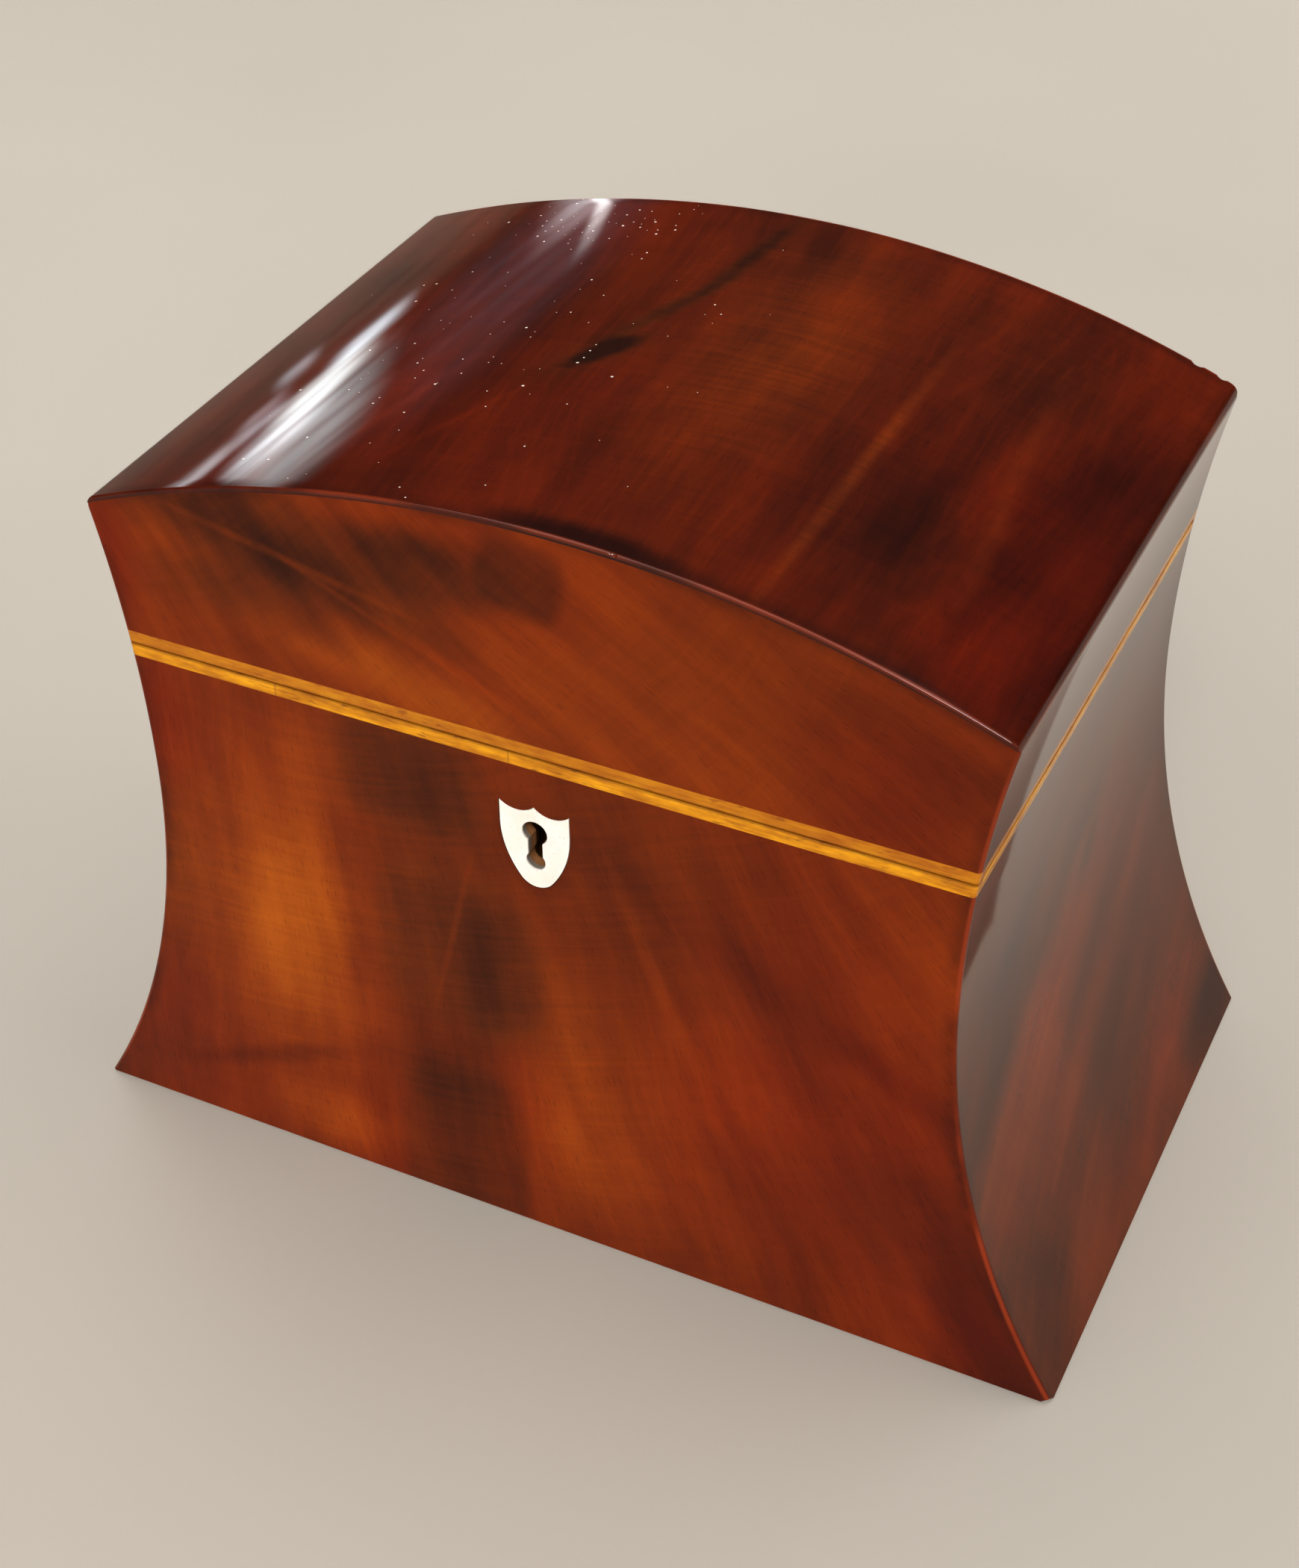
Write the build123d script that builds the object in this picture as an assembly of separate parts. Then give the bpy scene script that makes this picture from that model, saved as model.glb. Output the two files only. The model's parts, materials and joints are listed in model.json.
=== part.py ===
"""Antique tea caddy with waisted ends and a domed lid.

Millimetres. X runs along the front, Y towards the back, Z up. The origin is the middle of the underside.
The ends are hollow curves, the front and back are flat, and the dome is one arc across the width.
"""

import os
from math import sqrt

from build123d import *

# The outside
waist_width = 142.2
base_flare = 21.7
top_flare = 5.9
caddy_depth = 109.2
waist_height = 78.7
parting_height = 104.1
lid_end_height = 25.9
dome_rise = 15.1
arris_chamfer = 0.6
dome_corner_radius = 2.2

# Walls, veneers and edging
veneer_thickness = 0.9
veneer_left_at_arris = 0.1
veneer_floor_gap = 0.3
board_thickness = 8.0
end_block_least_thickness = 6.2
base_thickness = 6.0
lid_top_thickness = 6.0
lid_lining_thickness = 0.5
lid_lining_glue_gap = 0.05
edging_size = 2.2
edging_arris_radius = 0.45
parting_gap = 0.3

# The inside
lining_thickness = 2.5
partition_thickness = 6.0
foil_thickness = 0.4
foil_drop = 0.6
inner_lid_thickness = 5.0
inner_lid_drop = 3.0
inner_lid_clearance = 0.4
inner_lid_seat_gap = 0.3

# Turned knobs of the inner lids
knob_base_radius = 4.5
knob_base_height = 1.4
knob_neck_radius = 2.2
knob_neck_height = 2.6
knob_ball_radius = 4.4
knob_shank_radius = 2.0

# Bone shield and keyhole
shield_width = 12.2
shield_height = 15.9
shield_top_drop = 9.6
shield_side_radius = 17.4
shield_foot_radius = 3.4
shield_scoop_depth = 1.3
shield_thickness = 1.2
keyhole_below_shield_top = 5.0
keyhole_top_radius = 2.2
keyhole_bottom_radius = 1.7
keyhole_neck_width = 2.6
keyhole_lobe_spacing = 5.6

# Lock
lock_offset = 0.8
lock_case_width = 40.0
lock_plate_width = 50.0
lock_height = 25.0
lock_depth = 6.0
lock_plate_thickness = 1.2
lock_case_front_thickness = 0.8
lock_case_wall = 1.0
drill_pin_radius = 0.9

# Link plate and its loops
link_plate_width = 34.0
link_plate_thickness = 1.2
loop_spacing = 16.0
loop_thickness = 1.6
loop_width = 3.2
loop_reach = 7.5
loop_foot = 1.0
loop_hole_width = 1.6
loop_hole_height = 3.2
loop_clearance = 0.4

# Bolt
bolt_travel = 4.5
bolt_bar_height = 5.0
bolt_side_clearance = 0.2
bolt_post_width = 2.0
bolt_finger_thickness = 1.2
bolt_finger_height = 2.4
bolt_tip_gap = 0.5
bolt_tail = 3.0
bolt_notch_width = 3.4
bolt_notch_height = 1.4
guide_pin_radius = 0.8
guide_pin_spacing = 14.0
guide_pin_clearance = 0.05
bolt_spring_thickness = 0.3
bolt_spring_gap = 0.15
bolt_spring_arm = 12.0
bolt_spring_foot = 7.0

# Hinges
hinge_inset = 20.0
hinge_length = 22.0
hinge_leaf_width = 8.0
hinge_leaf_thickness = 1.0
hinge_knuckle_radius = 1.8
hinge_knuckle_gap = 0.15
hinge_pin_radius = 0.8
hinge_pin_clearance = 0.05
hinge_barrel_clearance = 0.3

# Screws
screw_head_radius = 1.5
screw_shank_radius = 0.75
screw_length = 5.5
screw_slot_width = 0.4
screw_slot_depth = 0.35
hinge_screw_spacing = 13.0
lock_screw_inset = 2.5
link_screw_inset = 3.2

# Places that follow from the sizes above
corner_height = parting_height + lid_end_height
upper_rise = corner_height - waist_height
lower_side_radius = (base_flare**2 + waist_height**2) / (2 * base_flare)
upper_side_radius = (top_flare**2 + upper_rise**2) / (2 * top_flare)
top_half_width = waist_width / 2 + top_flare
dome_radius = (top_half_width**2 + dome_rise**2) / (2 * dome_rise)
dome_centre_height = corner_height + dome_rise - dome_radius

front_y = -caddy_depth / 2
back_y = caddy_depth / 2
inside_half_width = waist_width / 2 - veneer_thickness - end_block_least_thickness
inside_half_depth = caddy_depth / 2 - veneer_thickness - board_thickness

case_top = parting_height - parting_gap / 2
lid_bottom = parting_height + parting_gap / 2
case_edging_bottom = case_top - edging_size
lid_edging_top = lid_bottom + edging_size
beyond_width = waist_width + 2 * base_flare
beyond_top = corner_height + 2 * dome_rise

inner_lid_top = case_top - inner_lid_drop
inner_lid_bottom = inner_lid_top - inner_lid_thickness
ledge_height = inner_lid_bottom - inner_lid_seat_gap
compartment_inner_x = partition_thickness / 2
compartment_outer_x = inside_half_width - lining_thickness
compartment_half_depth = inside_half_depth - lining_thickness
inner_lid_middle_x = (inner_lid_clearance / 2 + inside_half_width - inner_lid_clearance) / 2

shield_top = case_top - shield_top_drop
keyhole_height = shield_top - keyhole_below_shield_top

lock_back_y = -inside_half_depth
lock_front_y = lock_back_y - lock_depth
lock_bottom = case_top - lock_height
flange_bottom = case_top - lock_plate_thickness
lock_room_front_y = lock_front_y + lock_case_front_thickness
lock_room_back_y = lock_back_y - lock_plate_thickness
lock_middle_y = (lock_room_front_y + lock_room_back_y) / 2
lock_room_half_width = lock_case_width / 2 - lock_case_wall
flange_middle_y = (lock_front_y + lock_back_y) / 2

loop_bottom = lid_bottom - loop_reach
loop_hole_bottom = loop_bottom + loop_foot
bolt_top = loop_bottom - loop_clearance
bolt_bottom = bolt_top - bolt_bar_height
guide_pin_height = (bolt_top + bolt_bottom) / 2

hinge_knuckle_length = hinge_length / 3
hinge_middle_x = inside_half_width - hinge_inset
hinge_axis_y = back_y
hinge_axis_z = parting_height


def block(x_range, y_range, z_range):
    """A box between two corners."""
    sizes = [high - low for low, high in (x_range, y_range, z_range)]
    middle = [(high + low) / 2 for low, high in (x_range, y_range, z_range)]
    return Pos(*middle) * Box(*sizes)


def rod_along_y(x, z, y_range, radius):
    """A round bar along Y."""
    low, high = y_range
    return Pos(x, (low + high) / 2, z) * Rot(90, 0, 0) * Cylinder(radius, high - low)


def rod_along_x(x_range, y, z, radius):
    """A round bar along X."""
    low, high = x_range
    return Pos((low + high) / 2, y, z) * Rot(0, 90, 0) * Cylinder(radius, high - low)


def side_x(height, inset):
    """Half the width at a height, on the curve that lies inset inside the end."""
    side_radius = lower_side_radius if height < waist_height else upper_side_radius
    centre_x = waist_width / 2 + side_radius
    return centre_x - sqrt((side_radius + inset) ** 2 - (height - waist_height) ** 2)


def corner_point(side_inset, dome_inset):
    """Where the upper end curve meets the dome: two circles crossing on the right."""
    end_radius = upper_side_radius + side_inset
    top_radius = dome_radius - dome_inset
    centre_x = waist_width / 2 + upper_side_radius
    across = centre_x
    along = waist_height - dome_centre_height
    distance = sqrt(across**2 + along**2)
    reach = (top_radius**2 - end_radius**2 + distance**2) / (2 * distance)
    offset = sqrt(top_radius**2 - reach**2)
    x = (reach * across - offset * along) / distance
    z = dome_centre_height + (reach * along + offset * across) / distance
    return x, z


def form(side_inset, dome_inset, y_range):
    """The caddy's waisted and domed outline, drawn in by the insets, from one Y to another."""
    corner_x, corner_z = corner_point(side_inset, dome_inset)
    foot = (side_x(0, side_inset), 0, 0)
    low_middle = (side_x(waist_height / 2, side_inset), 0, waist_height / 2)
    waist = (side_x(waist_height, side_inset), 0, waist_height)
    high_height = (waist_height + corner_z) / 2
    high_middle = (side_x(high_height, side_inset), 0, high_height)
    corner = (corner_x, 0, corner_z)
    crown = (0, 0, dome_centre_height + dome_radius - dome_inset)

    def left(point):
        return (-point[0], point[1], point[2])

    edges = [
        Line(left(foot), foot),
        ThreePointArc(foot, low_middle, waist),
        ThreePointArc(waist, high_middle, corner),
        ThreePointArc(corner, crown, left(corner)),
        ThreePointArc(left(waist), left(high_middle), left(corner)),
        ThreePointArc(left(foot), left(low_middle), left(waist)),
    ]
    face = make_face(edges)
    low, high = y_range
    return Pos(0, low, 0) * extrude(face, amount=high - low, dir=(0, 1, 0))


def band(low, high):
    """Everything between two heights."""
    return block((-beyond_width, beyond_width), (-beyond_width, beyond_width), (low, high))


def rounded_outside():
    """The whole caddy as one block with its arrises softened."""
    outside = form(0, 0, (front_y, back_y))
    outside = fillet(outside.edges().filter_by(Axis.Y).group_by(Axis.Z)[-1], dome_corner_radius)
    front_edges = outside.faces().sort_by(Axis.Y)[0].edges().sort_by(Axis.Z)[1:]
    back_edges = outside.faces().sort_by(Axis.Y)[-1].edges().sort_by(Axis.Z)[1:]
    worn_off = min(arris_chamfer, veneer_thickness - veneer_left_at_arris)
    return chamfer(front_edges + back_edges, worn_off)


def screw_shape(radius_growth=0.0):
    """A countersunk screw pointing down, with the top of its head at the origin."""
    shank = screw_shank_radius + radius_growth
    head = screw_head_radius + radius_growth
    cone_depth = head - shank
    profile = Polyline(
        (0, 0, 0),
        (head, 0, 0),
        (shank, 0, -cone_depth),
        (shank, 0, -screw_length),
        (0, 0, -screw_length),
        close=True,
    )
    return revolve(make_face(profile), Axis.Z)


def slotted_screw():
    """The same screw with the slot in its head."""
    slot = Pos(0, 0, -screw_slot_depth / 2) * Box(2 * screw_head_radius, screw_slot_width, screw_slot_depth)
    return screw_shape() - slot


def gather(pieces):
    """Several separate solids as one node."""
    solids = []
    for piece in pieces:
        solids.extend(piece.solids())
    return Compound(children=solids)


def shield_outline():
    """The shield seen from the front, about its own centre line.

    Its top edge has two scoops. Each side runs straight down and then draws in along a wide arc, and a small
    arc joins the two sides at the foot. The arcs touch without a corner.
    """
    half = shield_width / 2
    foot = shield_top - shield_height
    foot_hub = foot + shield_foot_radius
    between_hubs = shield_side_radius - shield_foot_radius
    hub_aside = shield_side_radius - half
    hub_above = sqrt(between_hubs**2 - hub_aside**2)
    side_hub = foot_hub + hub_above
    foot_share = shield_side_radius / between_hubs
    touch = (foot_share * hub_aside - hub_aside, side_hub - foot_share * hub_above)
    halfway_x = 1 + hub_aside / between_hubs
    halfway_z = -hub_above / between_hubs
    halfway_scale = shield_side_radius / sqrt(halfway_x**2 + halfway_z**2)
    halfway = (halfway_scale * halfway_x - hub_aside, side_hub + halfway_scale * halfway_z)
    scoop = shield_top - shield_scoop_depth
    right_top = (half, 0, shield_top)
    left_top = (-half, 0, shield_top)
    cusp = (0, 0, shield_top)
    right_touch = (touch[0], 0, touch[1])
    left_touch = (-touch[0], 0, touch[1])
    return [
        ThreePointArc(left_top, (-half / 2, 0, scoop), cusp),
        ThreePointArc(cusp, (half / 2, 0, scoop), right_top),
        Line(right_top, (half, 0, side_hub)),
        ThreePointArc((half, 0, side_hub), (halfway[0], 0, halfway[1]), right_touch),
        ThreePointArc(right_touch, (0, 0, foot), left_touch),
        ThreePointArc(left_touch, (-halfway[0], 0, halfway[1]), (-half, 0, side_hub)),
        Line((-half, 0, side_hub), left_top),
    ]


def keyhole(y_range):
    """The keyhole as a cutter: a round top, a neck and a smaller round foot."""
    foot_height = keyhole_height - keyhole_lobe_spacing
    top = rod_along_y(lock_offset, keyhole_height, y_range, keyhole_top_radius)
    foot = rod_along_y(lock_offset, foot_height, y_range, keyhole_bottom_radius)
    neck_half = keyhole_neck_width / 2
    neck = block((lock_offset - neck_half, lock_offset + neck_half), y_range, (foot_height, keyhole_height))
    return top + foot + neck


def knob_shape():
    """A turned knob standing on the XY plane, with the shank that goes down through its lid."""
    neck_top = knob_base_height + knob_neck_height
    ball_base = neck_top
    ball_middle = ball_base + sqrt(knob_ball_radius**2 - knob_neck_radius**2)
    profile = [
        Line((0, 0, -inner_lid_thickness), (knob_shank_radius, 0, -inner_lid_thickness)),
        Line((knob_shank_radius, 0, -inner_lid_thickness), (knob_shank_radius, 0, 0)),
        Line((knob_shank_radius, 0, 0), (knob_base_radius, 0, 0)),
        ThreePointArc(
            (knob_base_radius, 0, 0),
            (knob_base_radius - knob_base_height * 0.3, 0, knob_base_height * 0.7),
            (knob_base_radius - knob_base_height, 0, knob_base_height),
        ),
        Line((knob_base_radius - knob_base_height, 0, knob_base_height), (knob_neck_radius, 0, neck_top)),
        ThreePointArc(
            (knob_neck_radius, 0, neck_top),
            (knob_ball_radius, 0, ball_middle),
            (0, 0, ball_middle + knob_ball_radius),
        ),
        Line((0, 0, ball_middle + knob_ball_radius), (0, 0, -inner_lid_thickness)),
    ]
    return revolve(make_face(profile), Axis.Z)


nodes = {}

# Shapes that several pieces are cut from
outside = rounded_outside()
outside_case = outside & band(0, case_top)
outside_case = fillet(outside_case.faces().sort_by(Axis.Z)[-1].edges(), edging_arris_radius)
outside_lid = outside & band(lid_bottom, beyond_top)
outside_lid = fillet(outside_lid.faces().sort_by(Axis.Z)[0].edges(), edging_arris_radius)

core = form(veneer_thickness, veneer_thickness, (front_y + veneer_thickness, back_y - veneer_thickness))
inside_edging = form(edging_size, veneer_thickness, (front_y + edging_size, back_y - edging_size))
edging_rebate = band(case_edging_bottom, lid_edging_top) - inside_edging
carcass = core - edging_rebate
under_dome_veneer = form(-board_thickness, veneer_thickness, (-beyond_width, beyond_width))
under_lid_top = form(-board_thickness, veneer_thickness + lid_top_thickness, (-beyond_width, beyond_width))

board_front = (front_y + veneer_thickness, -inside_half_depth)
board_back = (inside_half_depth, back_y - veneer_thickness)
between_boards = (-inside_half_depth, inside_half_depth)
full_width = (-beyond_width, beyond_width)
right_of_inside = (inside_half_width, beyond_width)
left_of_inside = (-beyond_width, -inside_half_width)
case_heights = (0, case_top)
lid_heights = (lid_bottom, beyond_top)

# Hinge shapes, made at the middle and moved to each hinge
half_hinge = hinge_length / 2
half_middle_knuckle = hinge_knuckle_length / 2
leaf_y = (hinge_axis_y - hinge_leaf_width, hinge_axis_y)
case_leaf_z = (case_top - hinge_leaf_thickness, case_top)
lid_leaf_z = (lid_bottom, lid_bottom + hinge_leaf_thickness)
barrel_room_radius = hinge_knuckle_radius + hinge_barrel_clearance
barrel_room = rod_along_x(
    (-half_hinge - hinge_barrel_clearance, half_hinge + hinge_barrel_clearance),
    hinge_axis_y,
    hinge_axis_z,
    barrel_room_radius,
)
near_barrel = (hinge_axis_y - barrel_room_radius, hinge_axis_y + barrel_room_radius)
barrel_heights = (hinge_axis_z - barrel_room_radius, hinge_axis_z + barrel_room_radius)
middle_gap = half_middle_knuckle + hinge_knuckle_gap
hinge_screw_y = hinge_axis_y - (hinge_leaf_width + barrel_room_radius) / 2
hinge_screw_places = (-hinge_screw_spacing / 2, hinge_screw_spacing / 2)


def case_leaf():
    """The leaf let into the case, with the two outer knuckles."""
    leaf = block((-half_hinge, half_hinge), leaf_y, case_leaf_z)
    leaf = leaf - block((-middle_gap, middle_gap), near_barrel, barrel_heights)
    for low, high in ((-half_hinge, -half_middle_knuckle), (half_middle_knuckle, half_hinge)):
        leaf = leaf + rod_along_x((low, high), hinge_axis_y, hinge_axis_z, hinge_knuckle_radius)
    leaf = leaf - block((-middle_gap, middle_gap), near_barrel, barrel_heights)
    leaf = leaf - rod_along_x((-half_hinge, half_hinge), hinge_axis_y, hinge_axis_z, hinge_pin_radius)
    for x in hinge_screw_places:
        leaf = leaf - Pos(x, hinge_screw_y, case_top) * screw_shape()
    return leaf


def lid_leaf():
    """The leaf let into the lid, with the middle knuckle."""
    leaf = block((-half_hinge, half_hinge), leaf_y, lid_leaf_z)
    knuckle_x = (-half_middle_knuckle + hinge_knuckle_gap, half_middle_knuckle - hinge_knuckle_gap)
    for low, high in ((-half_hinge, knuckle_x[0]), (knuckle_x[1], half_hinge)):
        leaf = leaf - block((low, high), near_barrel, barrel_heights)
    leaf = leaf + rod_along_x(knuckle_x, hinge_axis_y, hinge_axis_z, hinge_knuckle_radius)
    bore_radius = hinge_pin_radius + hinge_pin_clearance
    leaf = leaf - rod_along_x((-half_hinge, half_hinge), hinge_axis_y, hinge_axis_z, bore_radius)
    for x in hinge_screw_places:
        leaf = leaf - Pos(x, hinge_screw_y, lid_bottom) * Rot(180, 0, 0) * screw_shape()
    return leaf


hinge_sides = {"left": -hinge_middle_x, "right": hinge_middle_x}
case_hinge_holes = []
lid_hinge_holes = []
for middle in hinge_sides.values():
    at_hinge = Pos(middle, 0, 0)
    case_hinge_holes.append(at_hinge * block((-half_hinge, half_hinge), leaf_y, case_leaf_z))
    lid_hinge_holes.append(at_hinge * block((-half_hinge, half_hinge), leaf_y, lid_leaf_z))
    case_hinge_holes.append(at_hinge * barrel_room)
    lid_hinge_holes.append(at_hinge * barrel_room)
    for x in hinge_screw_places:
        case_hinge_holes.append(at_hinge * Pos(x, hinge_screw_y, case_top) * screw_shape())
        lid_hinge_holes.append(at_hinge * Pos(x, hinge_screw_y, lid_bottom) * Rot(180, 0, 0) * screw_shape())

# Lock places
plate_half = lock_plate_width / 2
case_half = lock_case_width / 2
link_half = link_plate_width / 2
lock_plate_x = (lock_offset - plate_half, lock_offset + plate_half)
lock_case_x = (lock_offset - case_half, lock_offset + case_half)
lock_flange = block(lock_plate_x, (lock_front_y, lock_back_y), (flange_bottom, case_top))
lock_upright = block(lock_plate_x, (lock_room_back_y, lock_back_y), (lock_bottom, flange_bottom))
lock_case_block = block(lock_case_x, (lock_front_y, lock_room_back_y), (lock_bottom, flange_bottom))
link_plate_x = (lock_offset - link_half, lock_offset + link_half)
link_plate_block = block(
    link_plate_x, (lock_front_y, lock_back_y), (lid_bottom, lid_bottom + link_plate_thickness)
)

flange_screws = []
upright_screws = []
link_screws = []
for side in (-1, 1):
    lock_screw_x = lock_offset + side * (plate_half - lock_screw_inset)
    flange_screws.append(Pos(lock_screw_x, flange_middle_y, case_top))
    upright_screw_z = lock_bottom + lock_screw_inset
    upright_screws.append(Pos(lock_screw_x, lock_back_y, upright_screw_z) * Rot(-90, 0, 0))
    link_screw_x = lock_offset + side * (link_half - link_screw_inset)
    link_screws.append(Pos(link_screw_x, flange_middle_y, lid_bottom) * Rot(180, 0, 0))
lock_screw_places = flange_screws + upright_screws

shield_back_y = front_y + shield_thickness
shield_block = extrude(make_face(shield_outline()), amount=shield_thickness, dir=(0, 1, 0))
shield_block = Pos(lock_offset, front_y, 0) * shield_block
keyhole_cutter = keyhole((front_y - shield_thickness, lock_room_front_y))

# Case boards
front_board = carcass & block(full_width, board_front, case_heights)
front_board = front_board - lock_flange - lock_upright - lock_case_block - shield_block - keyhole_cutter
for place in lock_screw_places:
    front_board = front_board - place * screw_shape()
back_board = carcass & block(full_width, board_back, case_heights)
for hole in case_hinge_holes:
    back_board = back_board - hole
nodes["front_board"] = front_board
nodes["back_board"] = back_board
nodes["right_end_block"] = carcass & block(right_of_inside, between_boards, case_heights)
nodes["left_end_block"] = carcass & block(left_of_inside, between_boards, case_heights)
inside_x = (-inside_half_width, inside_half_width)
nodes["base_board"] = block(inside_x, between_boards, (0, base_thickness))

# Case veneers
case_veneer_heights = (veneer_floor_gap, case_edging_bottom)
front_skin = (front_y, front_y + veneer_thickness)
back_skin = (back_y - veneer_thickness, back_y)
between_skins = (front_y + veneer_thickness, back_y - veneer_thickness)
front_veneer = outside_case & block(full_width, front_skin, case_veneer_heights)
nodes["front_veneer"] = front_veneer - shield_block - keyhole_cutter
nodes["back_veneer"] = outside_case & block(full_width, back_skin, case_veneer_heights)
end_skins = (outside_case - core) & block(full_width, between_skins, case_veneer_heights)
nodes["right_end_veneer"] = end_skins & block(right_of_inside, between_skins, case_heights)
nodes["left_end_veneer"] = end_skins & block(left_of_inside, between_skins, case_heights)
nodes["shield_escutcheon"] = shield_block - keyhole_cutter

# Edging strips round the rim of the case and the rim of the lid
front_edging_y = (front_y, front_y + edging_size)
back_edging_y = (back_y - edging_size, back_y)
between_edging_y = (front_y + edging_size, back_y - edging_size)
edging_rings = {
    "case": (outside_case, (case_edging_bottom, case_top), case_hinge_holes),
    "lid": (outside_lid, (lid_bottom, lid_edging_top), lid_hinge_holes),
}
for owner, (whole, heights, hinge_holes) in edging_rings.items():
    front_strip = whole & block(full_width, front_edging_y, heights)
    back_strip = whole & block(full_width, back_edging_y, heights)
    for hole in hinge_holes:
        back_strip = back_strip - hole
    end_strips = (whole - inside_edging) & block(full_width, between_edging_y, heights)
    nodes[f"{owner}_front_edging"] = front_strip
    nodes[f"{owner}_back_edging"] = back_strip
    nodes[f"{owner}_right_edging"] = end_strips & block(right_of_inside, between_edging_y, heights)
    nodes[f"{owner}_left_edging"] = end_strips & block(left_of_inside, between_edging_y, heights)

# Linings, partition and foil liners
lining_z = (base_thickness, ledge_height)
lined_depth = (-compartment_half_depth, compartment_half_depth)
nodes["front_lining"] = block(inside_x, (-inside_half_depth, -compartment_half_depth), lining_z)
nodes["back_lining"] = block(inside_x, (compartment_half_depth, inside_half_depth), lining_z)
nodes["right_lining"] = block((compartment_outer_x, inside_half_width), lined_depth, lining_z)
nodes["left_lining"] = block((-inside_half_width, -compartment_outer_x), lined_depth, lining_z)
nodes["partition"] = block((-compartment_inner_x, compartment_inner_x), lined_depth, lining_z)


def foil_liner(side):
    """A thin open box that fills one compartment; side is 1 on the right and -1 on the left."""
    near = side * compartment_inner_x
    far = side * compartment_outer_x
    foil_top = ledge_height - foil_drop
    x_range = (min(near, far), max(near, far))
    liner = block(x_range, lined_depth, (base_thickness, foil_top))
    hollow_x = (x_range[0] + foil_thickness, x_range[1] - foil_thickness)
    hollow_y = (lined_depth[0] + foil_thickness, lined_depth[1] - foil_thickness)
    return liner - block(hollow_x, hollow_y, (base_thickness + foil_thickness, foil_top))


# Inner lids and knobs
for name, side in (("left", -1), ("right", 1)):
    nodes[f"{name}_foil_liner"] = foil_liner(side)
    near = side * inner_lid_clearance / 2
    far = side * (inside_half_width - inner_lid_clearance)
    lid_y = inside_half_depth - inner_lid_clearance
    board = block((min(near, far), max(near, far)), (-lid_y, lid_y), (inner_lid_bottom, inner_lid_top))
    knob = Pos(side * inner_lid_middle_x, 0, inner_lid_top) * knob_shape()
    nodes[f"{name}_inner_lid"] = board - knob
    nodes[f"{name}_inner_lid_knob"] = knob

# Lock
lock_plate = lock_flange + lock_upright
half_slot_x = loop_thickness / 2 + loop_clearance
half_slot_y = loop_width / 2 + loop_clearance
loop_places = (lock_offset - loop_spacing / 2, lock_offset + loop_spacing / 2)
for x in loop_places:
    slot_y = (lock_middle_y - half_slot_y, lock_middle_y + half_slot_y)
    lock_plate = lock_plate - block((x - half_slot_x, x + half_slot_x), slot_y, (flange_bottom, case_top))
for place in lock_screw_places:
    lock_plate = lock_plate - place * screw_shape()
nodes["lock_plate"] = lock_plate

room_x = (lock_offset - lock_room_half_width, lock_offset + lock_room_half_width)
room_y = (lock_room_front_y, lock_room_back_y)
lock_room = block(room_x, room_y, (lock_bottom + lock_case_wall, flange_bottom))
lock_case = lock_case_block - lock_room
nodes["lock_case"] = lock_case - keyhole((lock_front_y, lock_room_front_y))
pin_y = (lock_front_y, lock_room_back_y)
nodes["drill_pin"] = rod_along_y(lock_offset, keyhole_height, pin_y, drill_pin_radius)
guide_pin_places = (lock_offset - guide_pin_spacing / 2, lock_offset + guide_pin_spacing / 2)
nodes["guide_pins"] = gather(
    [rod_along_y(x, guide_pin_height, room_y, guide_pin_radius) for x in guide_pin_places]
)
nodes["lock_screws"] = gather([place * slotted_screw() for place in lock_screw_places])


def lock_bolt():
    """The bolt drawn back: a slotted bar with a post and a finger beside each loop."""
    half_bar = (lock_room_back_y - lock_room_front_y) / 2 - bolt_side_clearance
    bar_y = (lock_middle_y - half_bar, lock_middle_y + half_bar)
    finger_half = bolt_finger_thickness / 2
    finger_y = (lock_middle_y - finger_half, lock_middle_y + finger_half)
    finger_middle = loop_hole_bottom + loop_hole_height / 2
    finger_z = (finger_middle - bolt_finger_height / 2, finger_middle + bolt_finger_height / 2)
    fingers = []
    for x in loop_places:
        tip = x - loop_thickness / 2 - bolt_tip_gap
        root = tip - bolt_travel
        post = block((root - bolt_post_width, root), bar_y, (bolt_top, finger_z[1]))
        fingers.append(post + block((root, tip), finger_y, finger_z))
    bar_start = loop_places[0] - loop_thickness / 2 - bolt_tip_gap - bolt_travel - bolt_post_width
    bolt = block((bar_start, guide_pin_places[1] + bolt_tail), bar_y, (bolt_bottom, bolt_top))
    for finger in fingers:
        bolt = bolt + finger
    slot_radius = guide_pin_radius + guide_pin_clearance
    for x in guide_pin_places:
        slot_start = x - bolt_travel
        bolt = bolt - rod_along_y(x, guide_pin_height, bar_y, slot_radius)
        bolt = bolt - rod_along_y(slot_start, guide_pin_height, bar_y, slot_radius)
        slot_z = (guide_pin_height - slot_radius, guide_pin_height + slot_radius)
        bolt = bolt - block((slot_start, x), bar_y, slot_z)
    notch_middle = lock_offset - bolt_travel / 2
    notch_x = (notch_middle - bolt_notch_width / 2, notch_middle + bolt_notch_width / 2)
    return bolt - block(notch_x, bar_y, (bolt_bottom, bolt_bottom + bolt_notch_height))


nodes["lock_bolt"] = lock_bolt()

wall_x = room_x[1]
spring_top = bolt_bottom - bolt_spring_gap
spring_arm_z = (spring_top - bolt_spring_thickness, spring_top)
spring_foot_z = (spring_top - bolt_spring_foot, spring_top)
spring_arm = block((wall_x - bolt_spring_arm, wall_x), room_y, spring_arm_z)
spring_foot = block((wall_x - bolt_spring_thickness, wall_x), room_y, spring_foot_z)
nodes["bolt_spring"] = spring_arm + spring_foot

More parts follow.
